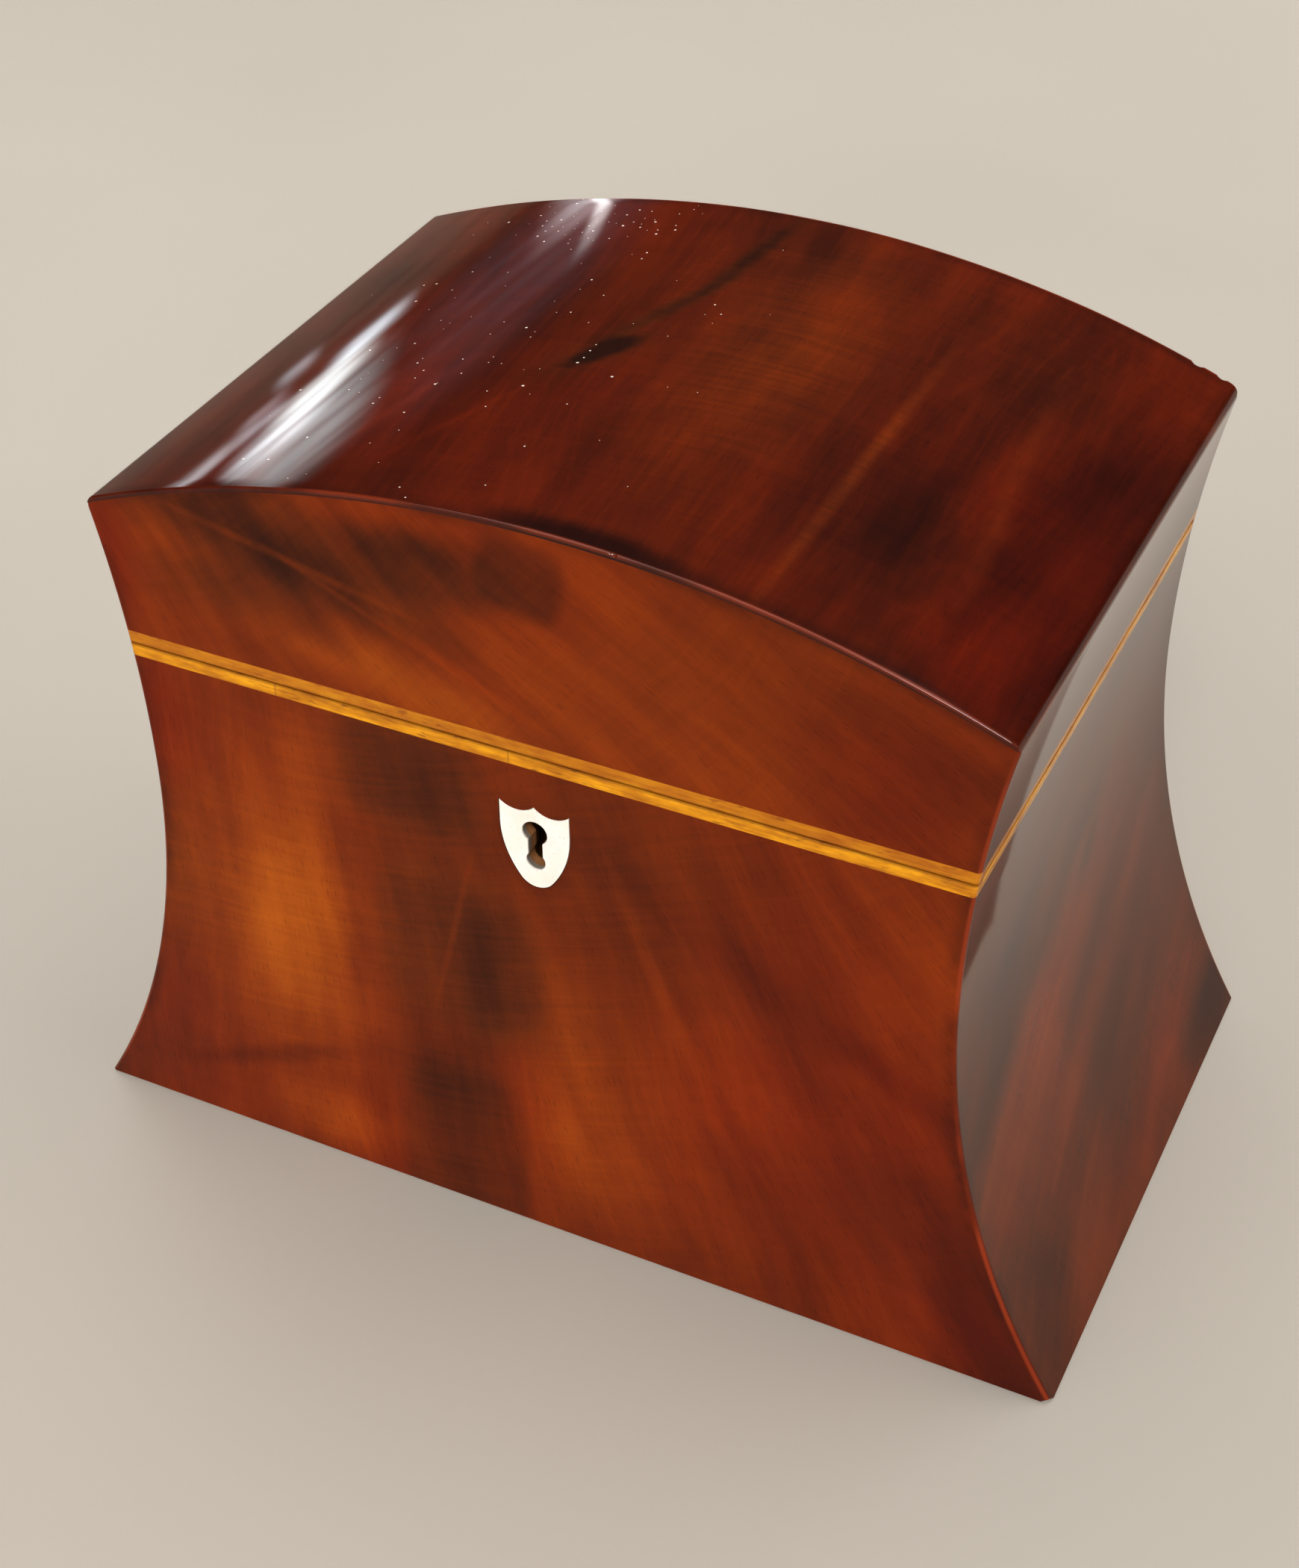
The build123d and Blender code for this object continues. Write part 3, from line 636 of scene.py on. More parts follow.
def shield_mesh(growth, y, depth):
    """The shield's outline, grown by a little, from y backwards."""
    top = shield_high.z + growth
    half = shield_half + growth
    foot_hub = shield_low.z + shield_foot_radius
    between_hubs = shield_side_radius - shield_foot_radius
    hub_aside = shield_side_radius - shield_half
    hub_above = math.sqrt(between_hubs**2 - hub_aside**2)
    side_hub = foot_hub + hub_above
    share = (shield_side_radius + growth) / between_hubs
    touch_x = share * hub_aside - hub_aside
    touch_z = side_hub - share * hub_above
    quarter = half / 2
    scoop_radius = (quarter**2 + shield_scoop**2) / (2 * shield_scoop)
    scoop_hub = top - shield_scoop + scoop_radius
    stops = [
        (shield_middle + half, top, (shield_middle + quarter, scoop_hub)),
        (shield_middle + half, side_hub, None),
        (shield_middle + touch_x, touch_z, (shield_middle - hub_aside, side_hub)),
        (shield_middle - touch_x, touch_z, (shield_middle, foot_hub)),
        (shield_middle - half, side_hub, (shield_middle + hub_aside, side_hub)),
        (shield_middle - half, top, None),
        (shield_middle - closing_gap, top, (shield_middle - quarter, scoop_hub)),
    ]
    return welded_plate((shield_middle, top), stops, y, depth)


def keyhole_mesh(y, depth):
    """The keyhole: a round top, a neck and a smaller round foot."""
    foot_middle = keyhole_height - keyhole_drop
    top_drop = math.sqrt(keyhole_top_radius**2 - keyhole_neck_half**2)
    foot_rise = math.sqrt(keyhole_foot_radius**2 - keyhole_neck_half**2)
    left, right = shield_middle - keyhole_neck_half, shield_middle + keyhole_neck_half
    top_hub = (shield_middle, keyhole_height)
    foot_hub = (shield_middle, foot_middle)
    crown_place = (shield_middle, keyhole_height + keyhole_top_radius)
    stops = [
        (right, keyhole_height - top_drop, top_hub),
        (right, foot_middle + foot_rise, None),
        (shield_middle, foot_middle - keyhole_foot_radius, foot_hub),
        (left, foot_middle + foot_rise, foot_hub),
        (left, keyhole_height - top_drop, None),
        (shield_middle - closing_gap, crown_place[1], top_hub),
    ]
    return welded_plate(crown_place, stops, y, depth)


shield_depth = shield_high.y - shield_low.y
shield_bm = shield_mesh(0.0, shield_low.y, shield_depth)
front_edges = [edge for edge in shield_bm.edges if flat_at(edge, 1, shield_low.y)]
bevel(shield_bm, front_edges, inlay_gap, segments=2)
shield = finish_piece("shield_escutcheon", shield_bm)
cut_hole(shield, keyhole_mesh(front_y - shield_depth, 3 * shield_depth))
cut_hole(pieces["front_veneer"], shield_mesh(inlay_gap, front_y - veneer, 3 * veneer))
pieces["shield_escutcheon"] = shield

# %% [markdown]
# ## Nicks
#
# The dome's arrises have a few small nicks: two near the right end of the back one, and a dent in the
# front one. Each is the bite of a small ball whose middle lies just outside the arris.

# %% Nick the dome's arrises
nicks = [(69.5, back_y, 1.5, 0.8), (73.8, back_y, 1.2, 0.7), (15.5, front_y, 1.0, 0.4)]
for along, y, radius, bite in nicks:
    outward = Vector((0, math.copysign(1, y), 1)).normalized()
    arris_place = Vector((along * mm, y, dome_centre + math.sqrt(dome_radius**2 - (along * mm) ** 2)))
    ball = bmesh.new()
    middle = arris_place + outward * (radius - bite) * mm
    bmesh.ops.create_icosphere(ball, subdivisions=3, radius=radius * mm, matrix=Matrix.Translation(middle))
    cut_hole(pieces["lid_dome_veneer"], ball)
print(len(nicks), "nicks")

# %% [markdown]
# ## Room for the hinges
#
# The hinges are let in at the back, and their barrels stand just proud of it. Each back strip is cut
# away round a barrel and under the leaf, a little wider than the brass.


# %% Cut the back strips round the hinges
def box_mesh(low, high):
    """A block between two corners."""
    bm = bmesh.new()
    bmesh.ops.create_cube(bm, size=1.0)
    bmesh.ops.scale(bm, vec=high - low, verts=bm.verts[:])
    bmesh.ops.translate(bm, vec=(high + low) / 2, verts=bm.verts[:])
    return bm


def barrel_mesh(low, high):
    """A round bar along X that fills the end view of a box between two corners."""
    bm = bmesh.new()
    radius = (high.z - low.z) / 2
    turned = Matrix.Translation((low + high) / 2) @ Matrix.Rotation(math.pi / 2, 4, "Y")
    bmesh.ops.create_cone(
        bm, cap_ends=True, segments=32, radius1=radius, radius2=radius, depth=high.x - low.x, matrix=turned
    )
    return bm


barrel_room = Vector((0.3, 0.3, 0.3)) * mm
leaf_room = 1.0 * mm
for name in ("left", "right"):
    low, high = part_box(f"{name}_hinge_case_leaf")
    barrel_low = Vector((low.x, 2 * back_y - high.y, low.z)) - barrel_room
    barrel_high = high + barrel_room
    leaf_low = Vector((low.x, low.y, case_rim - leaf_room))
    leaf_high = Vector((high.x, back_y + leaf_room, lid_rim + leaf_room))
    for owner in ("case", "lid"):
        cut_hole(pieces[f"{owner}_back_edging"], barrel_mesh(barrel_low, barrel_high))
        cut_hole(pieces[f"{owner}_back_edging"], box_mesh(leaf_low, leaf_high))
    print(f"{name} hinge has {(barrel_high.x - barrel_low.x) / mm:.1f} mm of room")

# %% [markdown]
# ## Turned bone knobs
#
# The inner lids lift by small turned knobs of bone. A lathe makes such a knob, and so does a spin:
# half of its profile, drawn once, is turned a full circle about the upright axis.

# %% Spin the knobs
knob_steps = 48
ball_start = -50
ball_sweep = 140
ball_steps = 12


def turned_knob(node):
    """A knob on its lid, from a profile of (radius, height) points: a foot, a neck and a ball."""
    low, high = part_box(node)
    middle = (low + high) / 2
    lid_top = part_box(node.replace("_knob", ""))[1].z
    ball_radius = 4.4 * mm
    neck_radius = 2.0 * mm
    foot_radius = (high.x - low.x) / 2
    profile = [
        (foot_radius, 0.0),
        (foot_radius, 0.35 * mm),
        (foot_radius - 0.5 * mm, 0.8 * mm),
        (foot_radius - 1.0 * mm, 0.9 * mm),
        (foot_radius - 1.4 * mm, 1.5 * mm),
        (neck_radius, 2.6 * mm),
        (neck_radius, 3.4 * mm),
        (neck_radius + 0.5 * mm, 3.9 * mm),
    ]
    ball_middle = high.z - lid_top - ball_radius
    for step in range(ball_steps + 1):
        angle = math.radians(ball_start + step * ball_sweep / ball_steps)
        profile.append((ball_radius * math.cos(angle), ball_middle + ball_radius * math.sin(angle)))
    bm = bmesh.new()
    pen = bmesh.ops.create_vert(bm, co=(middle.x, middle.y, lid_top))["vert"][0]
    for radius, rise in profile:
        pen = bmesh.ops.extrude_vert_indiv(bm, verts=[pen])["verts"][0]
        pen.co = Vector((middle.x + radius, middle.y, lid_top + rise))
    bmesh.ops.spin(
        bm,
        geom=bm.verts[:] + bm.edges[:],
        cent=middle,
        axis=(0, 0, 1),
        angle=2 * math.pi,
        steps=knob_steps,
        use_merge=True,
    )
    bmesh.ops.remove_doubles(bm, verts=bm.verts[:], dist=touching)
    return finish_piece(node, bm)


for name in ("left", "right"):
    pieces[f"{name}_inner_lid_knob"] = turned_knob(f"{name}_inner_lid_knob")

# %% [markdown]
# ## Inner lids
#
# Under the domed lid each tea compartment has its own loose lid, a mahogany board with softened
# edges. A block with a bevel on all its edges is enough for that shape.

# %% Make the inner lids
board_edge = 0.6 * mm
for name in ("left", "right"):
    node = f"{name}_inner_lid"
    low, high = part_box(node)
    board = box_mesh(low, high)
    bevel(board, board.edges[:], board_edge, segments=3)
    pieces[node] = finish_piece(node, board)

# %% [markdown]
# ## Node helpers
#
# Materials are made of many small nodes. These helpers place a node and connect it in one line, so
# that each material further down reads like a recipe. A value that is itself a socket is linked, and
# any other value is typed into the socket.


# %% Helpers for placing nodes
def fill(tree, node, inputs):
    """Links the values that are sockets to a node's inputs and types the others in."""
    for key, value in inputs.items():
        if isinstance(value, bpy.types.NodeSocket):
            tree.links.new(value, node.inputs[key])
        else:
            node.inputs[key].default_value = value


def put(tree, kind, inputs=None, **settings):
    """Places a node, sets its options and fills its inputs."""
    made = tree.nodes.new(kind)
    for key, value in settings.items():
        setattr(made, key, value)
    fill(tree, made, inputs or {})
    return made


def maths(tree, operation, *values, clamp=False):
    """A Math node's result."""
    made = put(tree, "ShaderNodeMath", dict(enumerate(values)), operation=operation, use_clamp=clamp)
    return made.outputs[0]


def times(tree, first, second):
    """Two values multiplied."""
    return maths(tree, "MULTIPLY", first, second)


def vector_maths(tree, operation, *values):
    """A Vector Math node's vector result."""
    return put(tree, "ShaderNodeVectorMath", dict(enumerate(values)), operation=operation).outputs[0]


def measured(tree, operation, *values):
    """A Vector Math node's plain number, such as a length."""
    made = put(tree, "ShaderNodeVectorMath", dict(enumerate(values)), operation=operation)
    return made.outputs["Value"]


def scaled(tree, vector, amount):
    """A vector made longer or shorter."""
    inputs = {0: vector, "Scale": amount}
    return put(tree, "ShaderNodeVectorMath", inputs, operation="SCALE").outputs[0]


def turned_about_z(tree, vector, angle):
    """A vector turned about the Z axis."""
    inputs = {"Vector": vector, "Angle": angle}
    return put(tree, "ShaderNodeVectorRotate", inputs, rotation_type="Z_AXIS").outputs[0]


def axes_of(tree, vector):
    """A vector's X, Y and Z."""
    return put(tree, "ShaderNodeSeparateXYZ", {0: vector}).outputs


def object_place(tree):
    """The place on a piece, in metres."""
    return put(tree, "ShaderNodeTexCoord").outputs["Object"]


def remap(tree, value, low, high, to_low=0.0, to_high=1.0):
    """A value moved smoothly from one range to another."""
    inputs = {"Value": value, "From Min": low, "From Max": high, "To Min": to_low, "To Max": to_high}
    return put(tree, "ShaderNodeMapRange", inputs, interpolation_type="SMOOTHSTEP").outputs[0]


def blend(tree, factor, first, second):
    """A mix of two colours."""
    inputs = {0: factor, 6: first, 7: second}
    return put(tree, "ShaderNodeMix", inputs, data_type="RGBA").outputs[2]


def cloud(tree, place, scale, detail, roughness=0.5, distortion=0.0, output="Fac"):
    """A noise texture's value, or three values at once from its Color output."""
    inputs = {"Vector": place, "Scale": scale, "Detail": detail}
    inputs |= {"Roughness": roughness, "Distortion": distortion}
    return put(tree, "ShaderNodeTexNoise", inputs).outputs[output]


def colour_steps(tree, value, stops):
    """A colour ramp through (position, colour) stops."""
    ramp = put(tree, "ShaderNodeValToRGB", {0: value}).color_ramp
    ramp.interpolation = "B_SPLINE"
    while len(ramp.elements) < len(stops):
        ramp.elements.new(0.5)
    for element, (position, colour) in zip(ramp.elements, stops):
        element.position = position
        element.color = srgb(*colour)
    return tree.nodes[-1].outputs[0]


def srgb(red, green, blue):
    """A colour given as a screen shows it, from 0 to 255, in the light values that Blender works in."""
    channels = []
    for channel in (red, green, blue):
        share = channel / 255
        channels.append(share / 12.92 if share <= 0.04045 else ((share + 0.055) / 1.055) ** 2.4)
    return (*channels, 1.0)


def new_group(name, inputs, outputs, kind="Float"):
    """A node group. It comes with the sockets of its given values and of its results.

    A tuple makes a vector socket and a number a float one. The results are all of one kind.
    """
    group = bpy.data.node_groups.new(name, "ShaderNodeTree")
    for label, value in inputs.items():
        given_kind = "Vector" if isinstance(value, tuple) else "Float"
        socket = group.interface.new_socket(label, in_out="INPUT", socket_type=f"NodeSocket{given_kind}")
        socket.default_value = value
    for label in outputs:
        group.interface.new_socket(label, in_out="OUTPUT", socket_type=f"NodeSocket{kind}")
    start = group.nodes.new("NodeGroupInput")
    end = group.nodes.new("NodeGroupOutput")
    return group, start.outputs, end.inputs


def use_group(tree, group, inputs):
    """Places a group in a material and gives its outputs."""
    made = tree.nodes.new("ShaderNodeGroup")
    made.node_tree = group
    fill(tree, made, inputs)
    return made.outputs


# %% [markdown]
# ## The flow of the grain
#
# Flame mahogany is cut where a branch leaves the trunk, and its grain fans out from there. So each
# leaf gets a hub, the point that its grain comes from. A place on the veneer is first pushed about by
# a slow noise and is then measured from the hub: how far away it is, which runs along the grain, and
# in what direction, which runs across it. Every finer pattern is drawn in those two coordinates and
# follows the same fan. A hub a metre away gives grain that is nearly straight.

# %% Group: grain flow
flow_defaults = {"Place": (0, 0, 0), "Hub": (0, 1, 0), "Reach": 1.0, "Swirl": 8 * mm, "Swirl Scale": 14.0}
tree, given, result = new_group("Grain flow", flow_defaults, ["Flow"], "Vector")
flow_group = tree
swirl_noise = cloud(tree, given["Place"], given["Swirl Scale"], detail=1.5, roughness=0.4, output="Color")
centred = vector_maths(tree, "SUBTRACT", swirl_noise, (0.5, 0.5, 0.5))
pushed = vector_maths(tree, "ADD", given["Place"], scaled(tree, centred, given["Swirl"]))
from_hub = vector_maths(tree, "SUBTRACT", pushed, given["Hub"])
from_hub = vector_maths(tree, "MULTIPLY", from_hub, (1, 1, 0))
parts = axes_of(tree, from_hub)
far = measured(tree, "LENGTH", from_hub)
bearing = maths(tree, "ARCTAN2", parts["Y"], parts["X"])
across = times(tree, bearing, given["Reach"])
flow_place = put(tree, "ShaderNodeCombineXYZ", {"X": far, "Y": across})
tree.links.new(flow_place.outputs[0], result["Flow"])
print(flow_group.name, "has", len(tree.nodes), "nodes")

# %% [markdown]
# ## Mahogany's own marks
#
# Along the grain run soft streaks a few millimetres wide, finer threads within them, and short dark
# pores that the polish has filled. Thin growth lines follow it too; they are the contour lines of a
# slow noise. Across it lies a silky ripple, which makes the flame seem lit from inside. All of them
# are noise, stretched by giving each direction its own number of features per metre: the first number
# in the table is along the grain and the second across it, and then come the noise's detail,
# roughness and distortion.


# %% Group: mahogany marks
def grain_noise(tree, flow, along, across, detail, roughness=0.5, distortion=0.0, output="Fac"):
    """A noise drawn out along the grain, from its number of features per metre along and across."""
    drawn_out = vector_maths(tree, "MULTIPLY", flow, (along, across, across))
    return cloud(tree, drawn_out, 1.0, detail, roughness, distortion, output)


mark_noises = {
    "Streaks": (15, 105, 2.0, 0.5, 0.0),
    "Threads": (110, 900, 3.0, 0.6, 0.0),
    "Pores": (330, 3600, 1.0, 0.5, 0.0),
    "Ripple": (780, 48, 2.0, 0.6, 0.6),
    "Lines": (6, 45, 1.0, 0.5, 0.0),
}
tree, given, result = new_group("Mahogany marks", {"Flow": (0, 0, 0)}, mark_noises)
marks_group = tree
drawn = {}
for name, numbers in mark_noises.items():
    drawn[name] = grain_noise(tree, given["Flow"], *numbers)
drawn["Pores"] = remap(tree, drawn["Pores"], 0.6, 0.72)
contour_count = 120.0
ring_wave = maths(tree, "SINE", times(tree, drawn["Lines"], contour_count))
drawn["Lines"] = remap(tree, ring_wave, 0.3, 1.0)
for name, mark in drawn.items():
    tree.links.new(mark, result[name])
print(marks_group.name, "puts out", ", ".join(drawn))

# %% [markdown]
# ## Patches of glow and smoke
#
# What makes each leaf its own is where it glows and where it is smoky. A patch is a soft oval or a
# soft rectangle with a wavering edge, placed and turned on the veneer. Each leaf gets a short list of
# them, as a restorer would note them down. An oval's mask falls off with the plain distance from its
# middle. For a rectangle the fourth root of the summed fourth powers takes its place, which has
# square sides and round corners, and the edge wavers less.

# %% Group: one patch on the veneer
patch_defaults = {
    "Place": (0, 0, 0),
    "Edge Noise": (0, 0, 0),
    "Middle": (0, 0, 0),
    "Half Size": (20 * mm, 20 * mm, 1.0),
    "Turn": 0.0,
    "Softness": 0.8,
    "Squareness": 0.0,
}
tree, given, result = new_group("Figure patch", patch_defaults, ["Mask"])
patch_group = tree
offset = vector_maths(tree, "SUBTRACT", given["Place"], given["Middle"])
offset = turned_about_z(tree, offset, given["Turn"])
shares = vector_maths(tree, "DIVIDE", offset, given["Half Size"])
calm = maths(tree, "MULTIPLY_ADD", given["Squareness"], -0.55, 1.0)
shares = vector_maths(tree, "ADD", shares, scaled(tree, given["Edge Noise"], calm))
shares = vector_maths(tree, "MULTIPLY", shares, (1, 1, 0))
oval = measured(tree, "LENGTH", shares)
squares = vector_maths(tree, "MULTIPLY", shares, shares)
box_like = maths(tree, "SQRT", measured(tree, "LENGTH", squares))
reach = put(tree, "ShaderNodeMix", {0: given["Squareness"], 2: oval, 3: box_like}, data_type="FLOAT")
inner = maths(tree, "SUBTRACT", 1.0, given["Softness"])
outer = maths(tree, "MULTIPLY_ADD", given["Softness"], 0.5, 1.0)
tree.links.new(remap(tree, reach.outputs[0], inner, outer, to_low=1.0, to_high=0.0), result["Mask"])
print(patch_group.name, "has", len(tree.nodes), "nodes")


def patch(along, up, half_width, half_height, turn=0, tone=0.0, red=0.0, soft=0.9, square=0.0):
    """A patch in millimetres and degrees, with what it adds to the leaf's tone and redness."""
    inputs = {
        "Middle": (along * mm, up * mm, 0),
        "Half Size": (half_width * mm, half_height * mm, 1.0),
        "Turn": math.radians(-turn),
        "Softness": soft,
        "Squareness": square,
    }
    return inputs, tone, red


# %% [markdown]
# ## Dust and painted glints
#
# A few specks of dust lie on the dome. Where they crowd near its back edge they are painted glints of
# the light behind, white but with no shine of their own. Each cell of a Voronoi texture holds one
# speck at most, and a random value decides which cells have one.

# %% Group: dust specks
tree, given, result = new_group("Dust", {"Place": (0, 0, 0), "Share": 0.3}, ["Specks"])
dust_and_glint_group = tree
cell_inputs = {"Vector": given["Place"], "Scale": 420.0}
cells = put(tree, "ShaderNodeTexVoronoi", cell_inputs, voronoi_dimensions="2D")
chance = put(tree, "ShaderNodeSeparateColor", {0: cells.outputs["Color"]}).outputs
smallest_speck = 0.035
size_spread = 0.07
mostly_small = maths(tree, "POWER", chance[1], 3.0)
speck_size = maths(tree, "MULTIPLY_ADD", mostly_small, size_spread, smallest_speck)
inside_speck = maths(tree, "LESS_THAN", cells.outputs["Distance"], speck_size)
chosen = maths(tree, "LESS_THAN", chance[0], given["Share"])
tree.links.new(times(tree, inside_speck, chosen), result["Specks"])
print(dust_and_glint_group.name, "has", len(tree.nodes), "nodes")

# %% [markdown]
# ## Where the arrises are
#
# Dirt gathers beside an arris, and handling wears the polish off the arris itself. Three depths tell
# where a place is: how far it lies behind the nearest end curve, under the dome, and behind the front
# or back. On a face one of them is nearly nought, and near an arris two are. The second smallest of
# the three is therefore the distance to the nearest arris, on every leaf alike.

# %% Group: distance to the nearest arris
tree, given, result = new_group("Arris distance", {"Place": (0, 0, 0)}, ["Distance"])
arris_group = tree
parts = axes_of(tree, given["Place"])
aside = maths(tree, "ABSOLUTE", parts["X"])
is_low = maths(tree, "LESS_THAN", parts["Z"], waist_height)
end_radius = maths(tree, "MULTIPLY_ADD", is_low, lower_radius - upper_radius, upper_radius)
to_centre = maths(tree, "SUBTRACT", maths(tree, "ADD", end_radius, waist_half), aside)
from_waist = maths(tree, "SUBTRACT", parts["Z"], waist_height)


def length_of(tree, first, second):
    """The length of the slope over two sides."""
    squares = maths(tree, "MULTIPLY_ADD", first, first, times(tree, second, second))
    return maths(tree, "SQRT", squares)


end_depth = maths(tree, "SUBTRACT", length_of(tree, to_centre, from_waist), end_radius)
from_dome_centre = maths(tree, "SUBTRACT", parts["Z"], dome_centre)
dome_depth = maths(tree, "SUBTRACT", dome_radius, length_of(tree, aside, from_dome_centre))
face_depth = maths(tree, "SUBTRACT", back_y, maths(tree, "ABSOLUTE", parts["Y"]))
least = maths(tree, "MINIMUM", end_depth, dome_depth)
most = maths(tree, "MAXIMUM", end_depth, dome_depth)
second = maths(tree, "MAXIMUM", least, maths(tree, "MINIMUM", most, face_depth))
tree.links.new(second, result["Distance"])
print(arris_group.name, "has", len(tree.nodes), "nodes")

# %% [markdown]
# ## French-polished mahogany
#
# One recipe finishes all the mahogany leaves. It adds up a tone from the streaks, the ripple and the
# leaf's patches, and turns the tone into colour twice, once along a brown scale and once along a red
# one, since old mahogany drifts between the two. Then it darkens the pores and the dirt beside the
# arrises, and lets warm bare wood show where an arris is worn. The polish is a clear coat over the
# wood: nearly mirror-smooth, while the wood under it is soft and has no shine of its own. A tone runs
# from 0, nearly black, to 1, golden, so the plain numbers in the recipe are shares of that scale.

# %% Recipe: French-polished mahogany
tones = (0.0, 0.25, 0.5, 0.75, 1.0)
browns = ((26, 12, 9), (82, 36, 14), (124, 52, 12), (168, 83, 15), (204, 116, 30))
reds = ((22, 7, 6), (74, 20, 7), (116, 35, 9), (152, 56, 12), (186, 88, 24))
brown_scale = list(zip(tones, browns))
red_scale = list(zip(tones, reds))
dark_filler = srgb(34, 12, 9)
arris_dirt = srgb(30, 12, 9)
worn_wood = srgb(148, 62, 32)
# The white of the specks: dust, and painted glints where they crowd.
dust_and_glint_white = srgb(226, 216, 204)
leaf_middle_mm = 60
edge_waver = (0.42, 0.42, 0.0)
red_range = (0.1, 0.75)
dirt_zone = (0.4 * mm, 3.4 * mm)
worn_zone = (0.3 * mm, 0.8 * mm)
shoulder_heights = (118 * mm, 130 * mm)
plane_axes = {"front": ("X", "Z", "Y"), "end": ("Y", "Z", "X"), "top": ("X", "Y", "Z")}


def new_material(name):
    """An empty material with a Principled shader on its output."""
    material = bpy.data.materials.new(name)
    material.use_nodes = True
    tree = material.node_tree
    tree.nodes.clear()
    shader = tree.nodes.new("ShaderNodeBsdfPrincipled")
    output = tree.nodes.new("ShaderNodeOutputMaterial")
    tree.links.new(shader.outputs[0], output.inputs[0])
    return material, tree, shader


def dress(material, *names):
    """Gives a material to finished pieces."""
    for name in names:
        pieces[name].data.materials.append(material)
    print(material.name, "on", ", ".join(names))


def on_plane(tree, place, plane):
    """The place on a veneer, with its own plane as XY."""
    parts = axes_of(tree, place)
    ordered = dict(enumerate(parts[axis] for axis in plane_axes[plane]))
    return put(tree, "ShaderNodeCombineXYZ", ordered).outputs[0]


def add_bump(tree, shader, height, strength, distance):
    """Lets a height tilt the light on a surface."""
    inputs = {"Height": height, "Strength": strength, "Distance": distance}
    fill(tree, shader, {"Normal": put(tree, "ShaderNodeBump", inputs).outputs[0]})


def about(tree, value, noise_value, spread):
    """A value moved up and down by a noise about its middle."""
    return maths(tree, "MULTIPLY_ADD", maths(tree, "SUBTRACT", noise_value, 0.5), spread, value)


